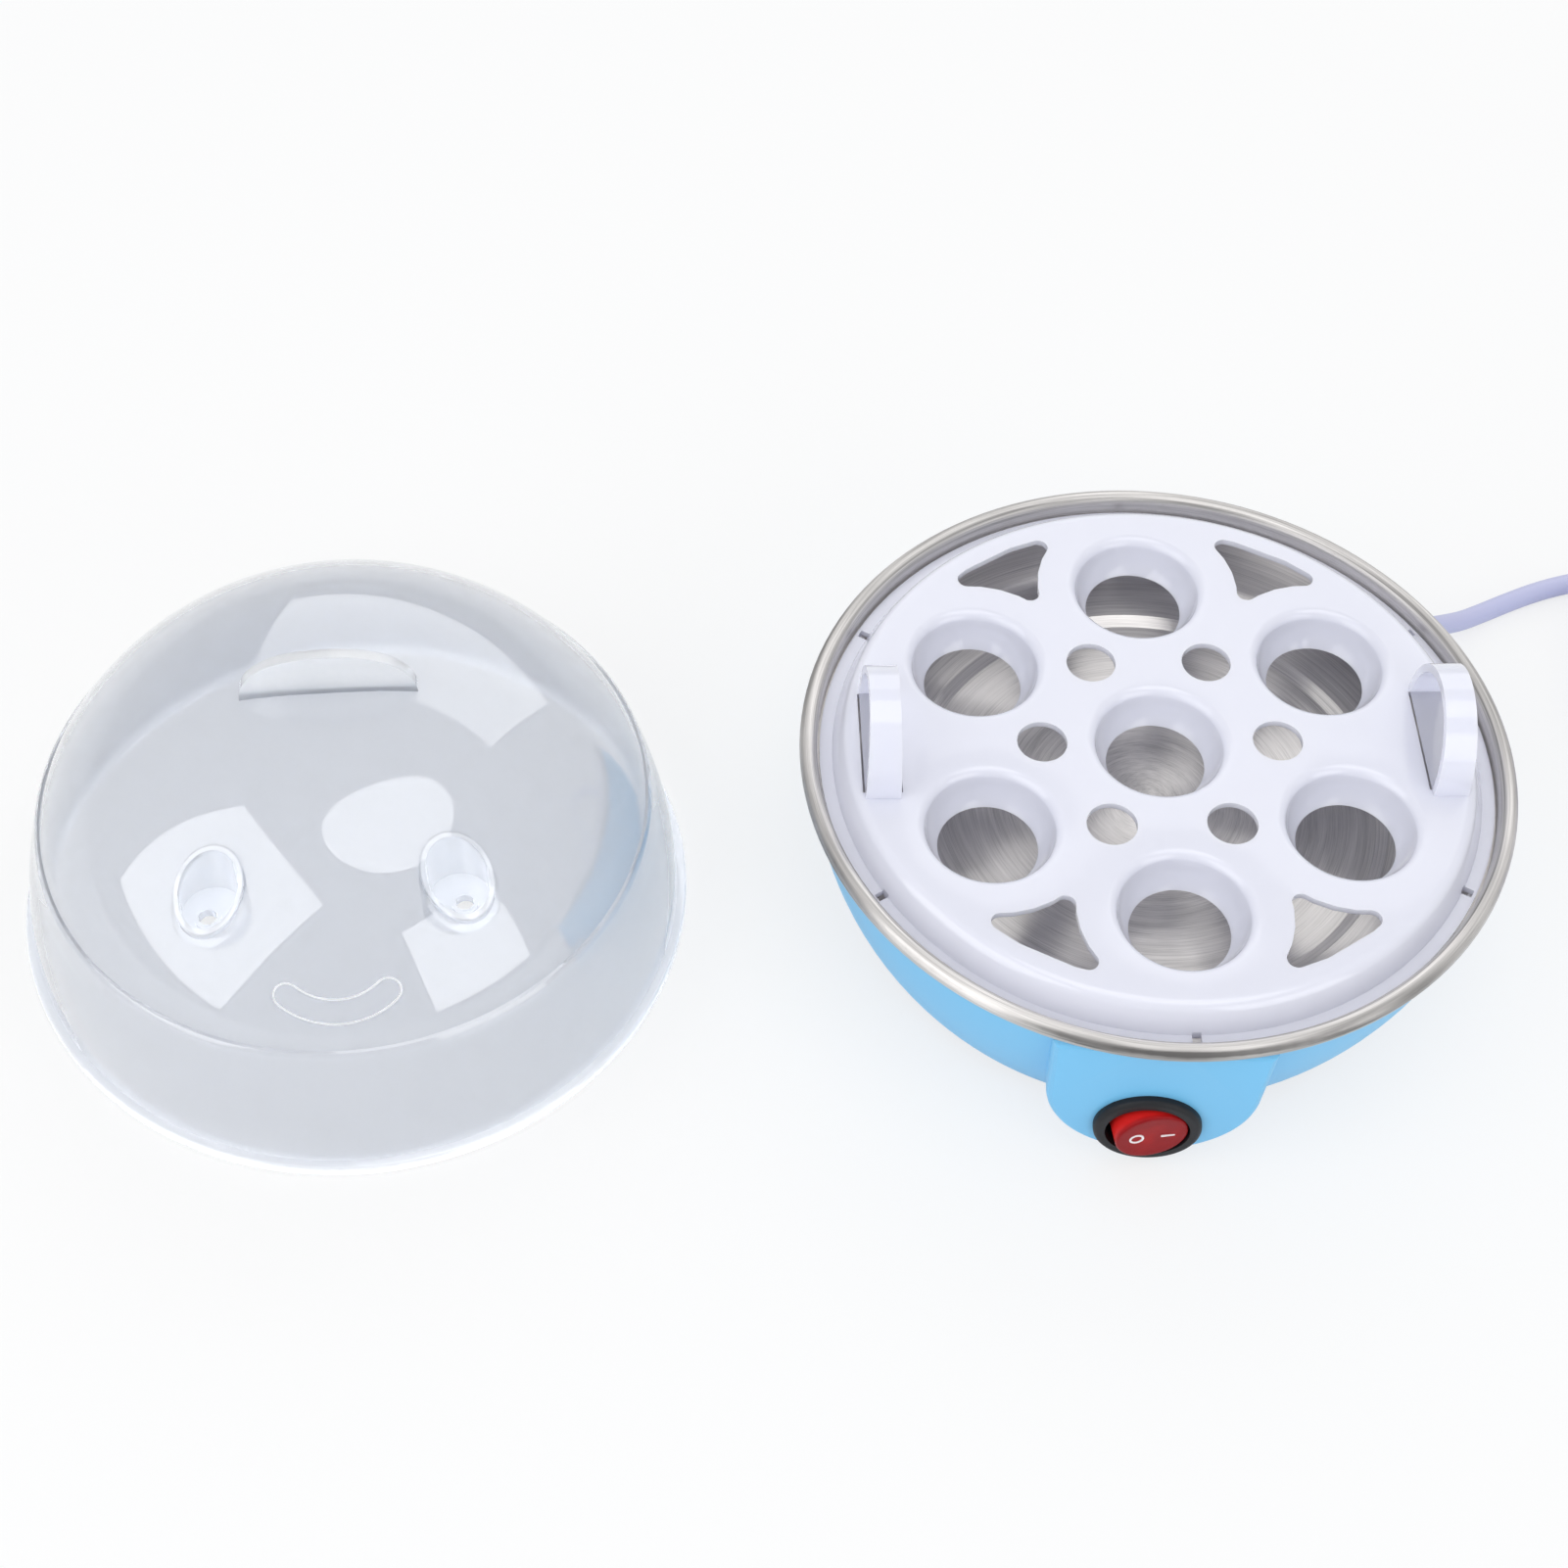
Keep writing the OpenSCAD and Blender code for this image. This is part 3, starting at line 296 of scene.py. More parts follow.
class Finish(Tree):
    """One material. Plain values go to the surface shader by name when it is made."""

    def __init__(self, name, **plain):
        self.material = bpy.data.materials.new(name)
        self.material.use_nodes = True
        super().__init__(self.material.node_tree)
        values = {socket.replace("_", " "): value for socket, value in plain.items()}
        shader = self.node("ShaderNodeBsdfPrincipled", {}, values)
        self.surface = shader.socket.node
        self.end("ShaderNodeOutputMaterial", "Surface", shader)

    def feed(self, socket, wire):
        """Sends a wire to one socket of the surface shader."""
        self.links.new(wire.socket, self.surface.inputs[socket])

    def place(self, centre=(0, 0, 0)):
        """Object coordinates measured from a centre."""
        at = self.node("ShaderNodeTexCoord", output="Object")
        return self.node("ShaderNodeMapping", {"vector_type": "POINT"},
                         {"Vector": at, "Location": [-c for c in centre]})

    def noise(self, where, scale, detail, rough=0.5):
        """Smooth noise from about 0 to 1."""
        return self.node("ShaderNodeTexNoise", {}, {"Vector": where, "Scale": scale,
                                                    "Detail": detail, "Roughness": rough})

    def split(self, where):
        """The x, y and z of a vector as three wires."""
        first = self.node("ShaderNodeSeparateXYZ", {}, {0: where})
        return [Wire(self, socket) for socket in first.socket.node.outputs]

    def joined(self, x, y, z=0.0):
        """Three numbers or wires as one vector."""
        return self.node("ShaderNodeCombineXYZ", {}, {0: x, 1: y, 2: z})

    def measured(self, operation, *vectors):
        """The number that Vector Math gives, such as a LENGTH or a DISTANCE."""
        return self.node("ShaderNodeVectorMath", {"operation": operation},
                         dict(enumerate(vectors)), output="Value")

    def blend(self, amount, one, other):
        """A colour between two colours. They are the Mix node's sockets 6 and 7."""
        return self.node("ShaderNodeMix", {"data_type": "RGBA"},
                         {0: amount, 6: one, 7: other}, output=2)

    def bump(self, height, depth):
        """Relief: height from 0 to 1 stands for that many metres."""
        self.feed("Normal", self.node("ShaderNodeBump", {}, {"Height": height, "Distance": depth}))


def rgb(red, green, blue):
    """A colour given as it shows on a screen, from 0 to 255, turned into linear light."""
    def linear(v):
        v = v / 255
        return v / 12.92 if v <= 0.04045 else ((v + 0.055) / 1.055) ** 2.4
    return (linear(red), linear(green), linear(blue), 1.0)


def shade(colour, share):
    """The same colour with that share of its light."""
    return [c * share for c in colour[:3]] + [1.0]


print("finishes can be made")

# %% [markdown]
# ## Moulded plastics
# The housing, tray, cover and clamp are injection moulded. Fresh from a polished mould such a
# part is glossy but never a perfect mirror: the wall shrinks a little as it cools, which leaves
# long soft waves, and handling leaves a fine haze. Each part could have a material of its own,
# but one recipe serves them all: broad waves in the relief, a fine haze in the roughness, and a
# trace of colour drift. The tray's thin white wall also lets light soak through it, which a share
# of subsurface scatter gives.

# %% A recipe for moulded plastic
HAZE = 0.06         # how far the roughness wanders where the part was handled


def moulded(name, colour, roughness, waves=0.03 * MM, grain=0.0, **plain):
    """Plastic from a mould. Waves is how deep they are, and grain adds fine relief to them."""
    made = Finish(name, **plain)
    where = made.place()
    broad = made.noise(where, scale=38.0, detail=1.0)
    fine = made.noise(where, scale=900.0, detail=3.0, rough=0.6)
    made.feed("Roughness", fine * HAZE + (roughness - HAZE / 2))
    made.feed("Base Color", made.blend(broad * 0.5, colour, shade(colour, 0.95)))
    made.bump(broad + fine * grain, waves)
    return made


blue = moulded("blue_housing", rgb(118, 194, 238), roughness=0.38)
cover_blue = moulded("blue_cover", rgb(112, 188, 232), roughness=0.5, grain=0.3)
tray_white = moulded("tray_white", rgb(226, 228, 243), roughness=0.14, waves=0.01 * MM,
                     Coat_Weight=0.5, Coat_Roughness=0.04, Subsurface_Weight=0.45,
                     Subsurface_Scale=4 * MM, Subsurface_Radius=(1.0, 1.0, 1.0))
switch_black = moulded("switch_black", rgb(30, 31, 34), roughness=0.46, grain=0.5,
                       Specular_IOR_Level=0.25)
cord_lilac = moulded("cord_lilac", rgb(196, 198, 230), roughness=0.42, grain=0.4)
natural_nylon = moulded("clamp_nylon", rgb(236, 236, 230), roughness=0.4)
tie_coating = moulded("tie_black", rgb(40, 40, 42), roughness=0.5, grain=0.6)
bakelite = moulded("bakelite", rgb(46, 42, 42), roughness=0.45, grain=0.8)
brown_wire = moulded("wire_brown", rgb(110, 62, 34), roughness=0.45)
blue_wire = moulded("wire_blue", rgb(44, 84, 176), roughness=0.45)
lamp_glass = moulded("lamp_glass", rgb(250, 190, 150), roughness=0.1, Transmission_Weight=0.8)
print("plastics ready")

# %% [markdown]
# ## Spun and brushed steel
# The pan is drawn and spun from stainless sheet, then brushed while it turns, so its lines run
# round the axis. The lines are finer than a millimetre: what is seen of them is a highlight drawn
# out across them, and bands where the brush pressed harder. Cutting such lines into the mesh would
# take millions of faces. Instead the shader's own anisotropy draws the highlight out, and noise
# that changes fast with the radius and slowly round the axis gives the lines. It goes into the
# colour as well, because brushed steel shows its lines even where it mirrors nothing but white.
# The brushed skin also scatters, so it is not wholly a mirror. The rolled rim carries painted
# shade:
# its top and most of all its outer side are darkened, in patches that follow the brush's bands.

# %% Steel of the pan
LINE_PITCH = 4600.0                     # about this many lines to the metre
LINE_DEPTH = 0.012 * MM
PAN_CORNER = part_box("heating_pan")[1]   # the high corner of the pan's box
RIM_FROM = PAN_CORNER.z - 4.5 * MM      # the rolled rim starts at this height
RIM_OUT = PAN_CORNER.x - BASE.x - 1.3 * MM      # and its outermost part at this radius


def brushed_steel(name, axis, colour, roughness):
    """Steel brushed round an axis, with painted shade on its rolled rim."""
    made = Finish(name, Metallic=0.85, Anisotropic=0.75, Anisotropic_Rotation=0.25)
    x, y, z = made.split(made.place(axis))
    flat = made.joined(x, y)
    radius = made.measured("LENGTH", flat)
    outward = made.node("ShaderNodeVectorMath", {"operation": "NORMALIZE"}, {0: flat})
    ox, oy, _ = made.split(outward)
    run = radius + z * 0.9

    def streaks(pitch, swing, detail, rough=0.5):
        """Noise at that pitch along the steel's section, which changes slowly round the axis."""
        return made.noise(made.joined(run * pitch, ox * swing, oy * swing), 1.0, detail, rough)

    lines = streaks(LINE_PITCH, swing=3.0, detail=3.0, rough=0.7)
    bands = streaks(LINE_PITCH / 4, swing=1.6, detail=2.0)
    broad = streaks(LINE_PITCH / 24, swing=1.1, detail=2.0)
    marks = lines * 0.5 + bands * 0.3 + broad * 0.2
    made.feed("Roughness", marks * 0.3 + (roughness - 0.15))
    stops = [(0.36, shade(colour, 0.70)), (0.50, shade(colour, 0.98)), (0.64, shade(colour, 1.18))]
    worn = made.node("ShaderNodeValToRGB", {"stops": stops}, {0: marks})
    # Painted shade: the rolled rim, most of all its outer side, is darkened in patches that follow
    # the brush's bands.
    rim = z.above(RIM_FROM, 250) * 0.45 + radius.above(RIM_OUT, 600) * 0.45
    painted_rim_shade = (rim * (bands * 4.8 - 1.6)).clamped()
    made.feed("Base Color", made.blend(painted_rim_shade, worn, shade(colour, 0.2)))
    made.bump(lines * 0.6 + bands * 0.4, LINE_DEPTH)
    return made


steel = brushed_steel("brushed_steel", BASE, rgb(226, 223, 221), roughness=0.36)
print("steel ready")

# %% [markdown]
# ## Small metals, ceramic and rubber
# Inside and underneath there are zinc-plated screws, a cast heater plate, nickel and brass
# terminals, ceramic parts, glass sleeving and rubber feet. Each could be one plain colour, but
# what tells them apart in the hand is the grain that their making leaves: castings are pitted,
# plating is bright with a cloudy haze, ceramic is chalky and rubber is matte. Two short recipes
# give it.

# %% Metals, ceramic, rubber


def plated(name, colour, roughness=0.28):
    """A bright plated metal under a cloudy haze."""
    made = Finish(name, Metallic=1.0)
    haze = made.noise(made.place(), scale=420.0, detail=3.0, rough=0.6)
    made.feed("Roughness", haze * 0.12 + roughness)
    made.feed("Base Color", made.blend(haze * 0.6, colour, shade(colour, 0.86)))
    made.bump(haze, 0.008 * MM)
    return made


def grainy(name, colour, roughness, scale, depth, metal=0.0):
    """A matte surface with fine pits: so many to the metre, and that deep."""
    made = Finish(name, Metallic=metal)
    pits = made.noise(made.place(), scale, detail=4.0, rough=0.65)
    made.feed("Roughness", pits * 0.2 + roughness)
    made.feed("Base Color", made.blend(pits * 0.7, colour, shade(colour, 0.8)))
    made.bump(pits, depth)
    return made


zinc = plated("screw_zinc", rgb(206, 204, 198))
nickel = plated("pin_nickel", rgb(222, 218, 206), roughness=0.2)
brass = plated("terminal_brass", rgb(222, 196, 120), roughness=0.26)
strap_steel = plated("strap_steel", rgb(200, 198, 194), roughness=0.34)
cast = grainy("cast_aluminium", rgb(176, 178, 180), roughness=0.42,
              scale=1500.0, depth=0.06 * MM, metal=1.0)
annealed = grainy("element_sheath", rgb(138, 134, 128), roughness=0.46,
                  scale=2200.0, depth=0.03 * MM, metal=1.0)
ceramic = grainy("ceramic", rgb(238, 232, 216), roughness=0.62, scale=2600.0, depth=0.03 * MM)
rubber = grainy("foot_rubber", rgb(58, 58, 62), roughness=0.6, scale=3200.0, depth=0.04 * MM)
sleeving = grainy("glass_sleeving", rgb(238, 232, 222), roughness=0.7,
                  scale=5200.0, depth=0.05 * MM)
print("metals, ceramic and rubber ready")

# %% [markdown]
# ## The frosted lid
# The lid is milky polypropylene: its far rim shows through it as a fine line, its thick edges
# glow, and its polished outside mirrors the lamps with crisp edges. A cloudy volume inside the
# wall would be true to it, but slow and noisy. So most of the light goes straight through, as in
# clear plastic. The rest soaks into the wall and comes out spread, which is subsurface scatter,
# and a clear coat on top carries the crisp mirror images. The solid grip and the bead round the
# mouth pipe light to themselves; that light is painted, as a whiter colour and a faint glow. The
# two vent pockets get a painted glow as well, for the light that their walls send back and forth.

# %% Lid plastic
LID_TURN = 8.6                  # the lid's front is this far round its axis, in degrees
THICK_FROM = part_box("lid")[1].z - 10.6 * MM     # only the grip stands higher on the dome
BEAD_TO = 3 * MM                # top of the bead
POCKET_RING = 47.4 * MM         # from the lid's axis to the middle of a pocket
POCKET_APART = 32               # and to each side of the front, in degrees
POCKET_R, POCKET_FROM = 7.5 * MM, 45 * MM       # its radius, and where its glow starts
# strengths of the painted glow on the grip, the bead and each pocket
GRIP_GLOW, BEAD_GLOW, POCKET_GLOW = 0.05, 0.25, 0.2


def frosted(name, colour, clear, glow=0.0):
    """Milky plastic that lets that share of the light straight through, with a painted glow of that
    strength.
    """
    made = Finish(name, IOR=1.49, Transmission_Weight=clear, Coat_Weight=1.0, Coat_Roughness=0.02,
                  Coat_IOR=1.7, Subsurface_Weight=1.0, Subsurface_Scale=4 * MM,
                  Subsurface_Radius=(1.0, 1.0, 1.0), Emission_Strength=1.0)
    where = made.place(LID)
    broad = made.noise(where, scale=26.0, detail=1.0)
    fine = made.noise(where, scale=700.0, detail=2.0)
    made.feed("Roughness", broad * 0.02 + 0.01)
    x, y, z = made.split(where)
    grip = z.above(THICK_FROM, 700)
    bead = z.below(BEAD_TO, 1500)
    # Painted light: the thick grip and bead are coloured whiter, for the light they carry.
    painted_thick_white = made.blend((grip + bead).clamped(), colour, rgb(253, 254, 255))
    made.feed("Base Color", made.blend(broad * 0.4 + fine * 0.2, painted_thick_white, shade(colour, 0.98)))
    # Painted glow: an emission on the grip, the bead and the two pockets, and the glow over the
    # whole part.
    lit = grip * GRIP_GLOW + bead * BEAD_GLOW + glow
    for side in (-1, 1):
        turn = math.radians(LID_TURN + side * POCKET_APART)
        middle = Vector((POCKET_RING * math.sin(turn), -POCKET_RING * math.cos(turn), 0))
        off = made.measured("DISTANCE", made.joined(x, y), middle)
        lit = lit + off.below(POCKET_R, 2500) * z.above(POCKET_FROM, 1000) * POCKET_GLOW
    made.feed("Emission Color", made.blend(lit, (0, 0, 0, 1), (0.92, 0.95, 1.0, 1)))
    made.bump(broad, 0.03 * MM)
    return made


lid_frost = frosted("lid_frosted", rgb(226, 230, 238), clear=0.72)
# The plate's raised line is almost opaque and gets a painted glow all over.
line_frost = frosted("line_frosted", rgb(250, 252, 255), clear=0.05, glow=0.3)
print("lid plastic ready")

# %% [markdown]
# ## The red rocker
# The switch's rocker is a clear red moulding: a round button with a slight hollow for the thumb,
# that rocks about an upright pin. Its deep side wall glows where it stands out of the well, and
# its face looks darker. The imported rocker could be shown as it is, but its edge is sharp. A lens
# turned from a profile has its edge rounded as the moulded one is. The profile's place comes from
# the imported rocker, whose flat face gives the axis and the height.

# %% Helpers for turned solids
CRISP_FROM = math.radians(32)       # an edge that turns more than this stays crisp


def flat_face(node, towards):
    """Centre and outward direction of the node's largest flat face that looks that way."""
    facing = [f for f in nodes[node].data.polygons if f.normal.dot(towards) > 0.8]
    largest = max(facing, key=lambda f: f.area)
    way = largest.normal.copy()
    level = largest.center.dot(way)
    flat = [f for f in facing
            if f.normal.dot(way) > 0.9999 and abs(f.center.dot(way) - level) < 0.1 * MM]
    area = sum(f.area for f in flat)
    return sum((f.center * f.area for f in flat), Vector()) / area, way


def finished(mesh, name):
    """Turns a bmesh into mesh data with its faces pointing outwards."""
    bmesh.ops.recalc_face_normals(mesh, faces=mesh.faces)
    data = bpy.data.meshes.new(name)
    mesh.to_mesh(data)
    mesh.free()
    return data


def turned(name, profile, sides=96, closed=False):
    """A solid turned about Z from (radius, height) pairs. They start and end on the axis, or go
    round a section that is closed and stays off the axis."""
    mesh = bmesh.new()
    rings = []
    for radius, height in profile:
        angles = [2 * math.pi * k / sides for k in range(1 if radius == 0 else sides)]
        rings.append([mesh.verts.new((radius * math.cos(a), radius * math.sin(a), height))
                      for a in angles])
    for low, high in zip(rings, rings[1:] + (rings[:1] if closed else [])):
        for k in range(sides):
            corners = [low[k % len(low)], low[(k + 1) % len(low)],
                       high[(k + 1) % len(high)], high[k % len(high)]]
            mesh.faces.new(list(dict.fromkeys(corners)))
    return finished(mesh, name)


def arc(centre, radius, start, end, steps=6):
    """Points on an arc in the profile's plane, in degrees."""
    angles = [math.radians(start + (end - start) * k / steps) for k in range(steps + 1)]
    return [(centre[0] + radius * math.cos(a), centre[1] + radius * math.sin(a)) for a in angles]


def soften(piece):
    """Smooth shading, with the sharper edges left crisp."""
    piece.data.shade_smooth()
    piece.data.set_sharp_from_angle(angle=CRISP_FROM)


FACE_AT, FACE_WAY = flat_face("switch_rocker", Vector((0, -1, 0)))
PIVOT_LINE = Vector((0, 0, 1))
face_side = PIVOT_LINE.cross(FACE_WAY).normalized()
face_turn = Matrix((face_side, PIVOT_LINE, FACE_WAY)).transposed().to_4x4()
face_frame = Matrix.Translation(FACE_AT) @ face_turn
print("rocker's face at", short(FACE_AT), "looks along", short(FACE_WAY))

# %% The rocker's lens
LENS_R, LENS_DEEP = 7.9 * MM, 6.2 * MM
LENS_EDGE = 0.6 * MM                        # radius of the round along its edge
FOOT_IN, FOOT_UP = 0.4 * MM, 0.6 * MM       # the bevel round its hidden foot
DISH = 0.25 * MM                            # the thumb's hollow in the face
HOLLOW = [(6.4, 0.24), (5, 0.4), (2.5, 0.85), (0, 1)]   # radius in millimetres, share of the dish
lens_profile = ([(0, -LENS_DEEP), (LENS_R - FOOT_IN, -LENS_DEEP), (LENS_R, -LENS_DEEP + FOOT_UP)]
                + arc((LENS_R - LENS_EDGE, -LENS_EDGE), LENS_EDGE, 0, 90)
                + [(radius * MM, -share * DISH) for radius, share in HOLLOW])
rocker_lens = add_object("rocker_lens", turned("rocker_lens", lens_profile))
rocker_lens.data.transform(face_frame)
soften(rocker_lens)
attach(rocker_lens, "rocker")
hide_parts("switch_rocker")
print("lens:", len(rocker_lens.data.polygons), "faces")

# %% [markdown]
# ## Red through and through
# Light enters the lens and comes out at its sides, so the wall is a brighter red than the face.
# Clear plastic over a red body would need many more rays for the same look. So that light is
# painted: the finish fades from one red to the other with the depth below the face, and a share
# of subsurface scatter keeps it soft.

# %% Finish of the lens
FADE_DEPTH = 1.1 * MM       # below the face, where the brighter red is reached
FACE_RED, WALL_RED = rgb(140, 15, 21), rgb(214, 34, 32)

lens_red = Finish("rocker_red", Specular_IOR_Level=0.12, Subsurface_Weight=0.3,
                  Subsurface_Scale=1 * MM, Subsurface_Radius=(1.0, 0.3, 0.2))
lx, ly, lz = lens_red.split(lens_red.place(FACE_AT))
depth = (lx * FACE_WAY.x + ly * FACE_WAY.y + lz * FACE_WAY.z) * (-1 / FADE_DEPTH)
speckle = lens_red.noise(lens_red.place(), scale=2600.0, detail=2.0)
cloud = lens_red.noise(lens_red.place(), scale=240.0, detail=1.0)
inward = (depth + cloud * 0.5 - 0.3).clamped()
# Painted light: the brighter red below the face stands in for the light coming out of the wall.
lens_red.feed("Base Color", lens_red.blend(inward, FACE_RED, WALL_RED))
lens_red.feed("Roughness", speckle * 0.12 + 0.26)
lens_red.bump(speckle, 0.02 * MM)
rocker_lens.data.materials.append(lens_red.material)
print("lens is red")

# %% [markdown]
# ## The ring and the bar
# The two usual marks are filled with white: a ring for off and a bar for on. They could be drawn
# by the finish, but a solid pad has a crisp edge from any distance. Each pad is thin, and its
# underside lies below the dished face, so it can never flicker against it. The ring is turned
# from a small rectangle, and the bar is a capsule made from the same arcs.

# %% Marks on the rocker
MARK_OUT = 3.4 * MM                         # from the middle of the face
MARK_SINK, MARK_PROUD = -0.4 * MM, 0.02 * MM    # underside and top of a pad, from the face
RING_IN, RING_OUT = 1.15 * MM, 1.6 * MM
BAR_LONG, BAR_WIDE = 3.1 * MM, 0.42 * MM


def bar_pad(name, length, width, low, high):
    """A flat bar with round ends, along X."""
    reach = (length - width) / 2
    rim = arc((reach, 0), width / 2, -90, 90) + arc((-reach, 0), width / 2, 90, 270)
    mesh = bmesh.new()
    floor = [mesh.verts.new((x, y, low)) for x, y in rim]
    roof = [mesh.verts.new((x, y, high)) for x, y in rim]
    mesh.faces.new(floor)
    mesh.faces.new(roof)
    for k in range(len(rim)):
        j = (k + 1) % len(rim)
        mesh.faces.new([floor[k], floor[j], roof[j], roof[k]])
    return finished(mesh, name)


mark_white = moulded("mark_white", rgb(245, 240, 242), roughness=0.4)
ring_section = [(RING_IN, MARK_SINK), (RING_OUT, MARK_SINK),
                (RING_OUT, MARK_PROUD), (RING_IN, MARK_PROUD)]
for name, along, pad in (
    ("off_mark", -MARK_OUT, turned("off_mark", ring_section, sides=48, closed=True)),
    ("on_mark", MARK_OUT, bar_pad("on_mark", BAR_LONG, BAR_WIDE, MARK_SINK, MARK_PROUD)),
):
    mark = add_object(name, pad)
    mark.data.transform(face_frame @ Matrix.Translation((along, 0, 0)))
    mark.data.materials.append(mark_white.material)
    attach(mark, "rocker")
    print(name, len(mark.data.polygons), "faces")

# %% [markdown]
# ## Geometry Nodes, written like the finishes
# A recipe is one node tree with named inputs. It is put on an object as a modifier, its inputs
# are set through the identifiers of its sockets, and the result is baked into a plain mesh. The
# tree could be built once by hand and stored, but built here it can be read. Every recipe below
# sweeps a round bar along a line, so that step has a name of its own.

# %% Recipe


class Recipe(Tree):
    """One Geometry Nodes tree. Its inputs are given as name = kind of socket."""

    def __init__(self, name, **inputs):
        self.group = bpy.data.node_groups.new(name, "GeometryNodeTree")
        super().__init__(self.group)
        face = self.group.interface
        for way in ("INPUT", "OUTPUT"):
            face.new_socket("Geometry", in_out=way, socket_type="NodeSocketGeometry")
        self.sockets = {}
        for key, kind in inputs.items():
            made = face.new_socket(key, in_out="INPUT", socket_type="NodeSocket" + kind)
            self.sockets[key] = made.identifier
        self.start = self.nodes.new("NodeGroupInput")

    def given(self, key):
        """The wire of one named input; "Geometry" is the object itself."""
        return Wire(self, self.start.outputs[key])

    def swept(self, line, radius, sides, capped=True):
        """A round bar of that radius along a line."""
        section = self.node("GeometryNodeCurvePrimitiveCircle", {},
                            {"Resolution": sides, "Radius": radius})
        return self.node("GeometryNodeCurveToMesh", {},
                         {"Curve": line, "Profile Curve": section, "Fill Caps": capped})

    def ends_with(self, shape, finish):
        """Realizes what was made, gives it its finish and closes the tree."""
        solid = self.node("GeometryNodeRealizeInstances", {}, {"Geometry": shape})
        worn = self.node("GeometryNodeSetMaterial", {},
                         {"Geometry": solid, "Material": finish.material})
        self.end("NodeGroupOutput", "Geometry", worn)

    def bake(self, source, name, **values):
        """Runs the tree on an object, with a value for each input, and returns a plain mesh."""
        modifier = source.modifiers.new(self.group.name, "NODES")
        modifier.node_group = self.group
        for key, value in values.items():
            modifier[self.sockets[key]] = value
        return baked(source, name)


print("recipes can be made")

# %% [markdown]
# ## The plate on the lid
# Low on the front of the dome stands a thin raised line that frames a bare, curved plate. The
# line could be modelled in place, point by point. Here it is drawn flat instead, as two arcs with
# round ends, in front of the dome. Geometry Nodes then throws each point of it back onto the dome
# and sweeps a small round bead along it, so it follows the surface whatever the dome's shape is.

# %% Flat outline of the plate
PLATE_TURN = math.radians(8.3)              # from straight ahead, towards the base
PLATE_ON = Vector((0, -61.3, 43.5)) * MM    # the middle of its lower part, from the lid's axis
PLATE_BEND, PLATE_HALF = 15.5 * MM, 2.7 * MM    # radius of its middle line, half its width
PLATE_SPAN = 41.0                           # of its arcs, to each side, in degrees
LEAN = math.radians(33.4)                   # how far the dome leans back there
AHEAD = 20 * MM                             # how far in front of the dome it is drawn


def smile_outline():
    """A closed flat outline: the underside arc, a round end, the upper arc, a round end."""
    low, high = 270 - PLATE_SPAN, 270 + PLATE_SPAN
    ends = [Vector((math.cos(math.radians(a)), math.sin(math.radians(a)))) * PLATE_BEND
            for a in (high, low)]
    return (arc((0, 0), PLATE_BEND + PLATE_HALF, low, high, 30)
            + arc(ends[0], PLATE_HALF, high, high + 180, 12)[1:]
            + arc((0, 0), PLATE_BEND - PLATE_HALF, high, low, 30)[1:]
            + arc(ends[1], PLATE_HALF, low + 180, low + 360, 12)[1:-1])


drawn = bpy.data.curves.new("plate_outline", "CURVE")
drawn.dimensions = "3D"
line = drawn.splines.new("POLY")
outline_points = smile_outline()
line.points.add(len(outline_points) - 1)
plate_frame = (Matrix.Translation(LID) @ Matrix.Rotation(PLATE_TURN, 4, "Z")
               @ Matrix.Translation(PLATE_ON) @ Matrix.Rotation(math.pi / 2 - LEAN, 4, "X")
               @ Matrix.Translation((0, 0, AHEAD)))
for point, (px, py) in zip(line.points, outline_points):
    point.co = (*(plate_frame @ Vector((px, py + PLATE_BEND, 0))), 1)
line.use_cyclic_u = True
print("outline of", len(outline_points), "points")

# %% The line thrown onto the dome
THROW = 200 * MM        # how far a point may travel
LINE_R = 0.22 * MM

wrap = Recipe("line_on_surface", Surface="Object", Towards="Vector", Bead="Float", Sides="Int")
surface = wrap.node("GeometryNodeObjectInfo", {"transform_space": "ORIGINAL"},
                    {"Object": wrap.given("Surface")}, output="Geometry")
landed = wrap.node("GeometryNodeRaycast", {},
                   {"Target Geometry": surface, "Ray Direction": wrap.given("Towards"),
                    "Ray Length": THROW}, output="Hit Position")
laid = wrap.node("GeometryNodeSetPosition", {},
                 {"Geometry": wrap.given("Geometry"), "Position": landed})
wrap.ends_with(wrap.swept(laid, wrap.given("Bead"), wrap.given("Sides"), capped=False), line_frost)
plate_line = wrap.bake(add_object("plate_outline", drawn), "plate_line", Surface=nodes["lid"],
                       Towards=-(plate_frame.to_3x3() @ Vector((0, 0, 1))), Bead=LINE_R, Sides=8)
plate_line.data.shade_smooth()
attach(plate_line, "lid")
print("plate line:", len(plate_line.data.polygons), "faces, box", short(plate_line.bound_box[0]))

# %% [markdown]
# ## Ridges on the plug
# The plug has finger ridges across its flat top. They could be five copies of one bar, but
# Geometry Nodes is made for what repeats: one bar with soft ends is put on each point of a line
# of points, and the number, the step and the thickness stay inputs.

# %% Ridges on the plug
RIDGES = 5
RIDGE_HALF, RIDGE_THICK = 8.5 * MM, 1.1 * MM    # half its length, and its radius
RIDGE_PROUD, RIDGE_STEP = 0.6 * MM, 3.0 * MM
RIDGE_FROM = 26 * MM        # the first one, from the end where the lead goes in


def empty_piece(name):
    """An object with no points yet, for a recipe that needs none."""
    return add_object(name, bpy.data.meshes.new(name))


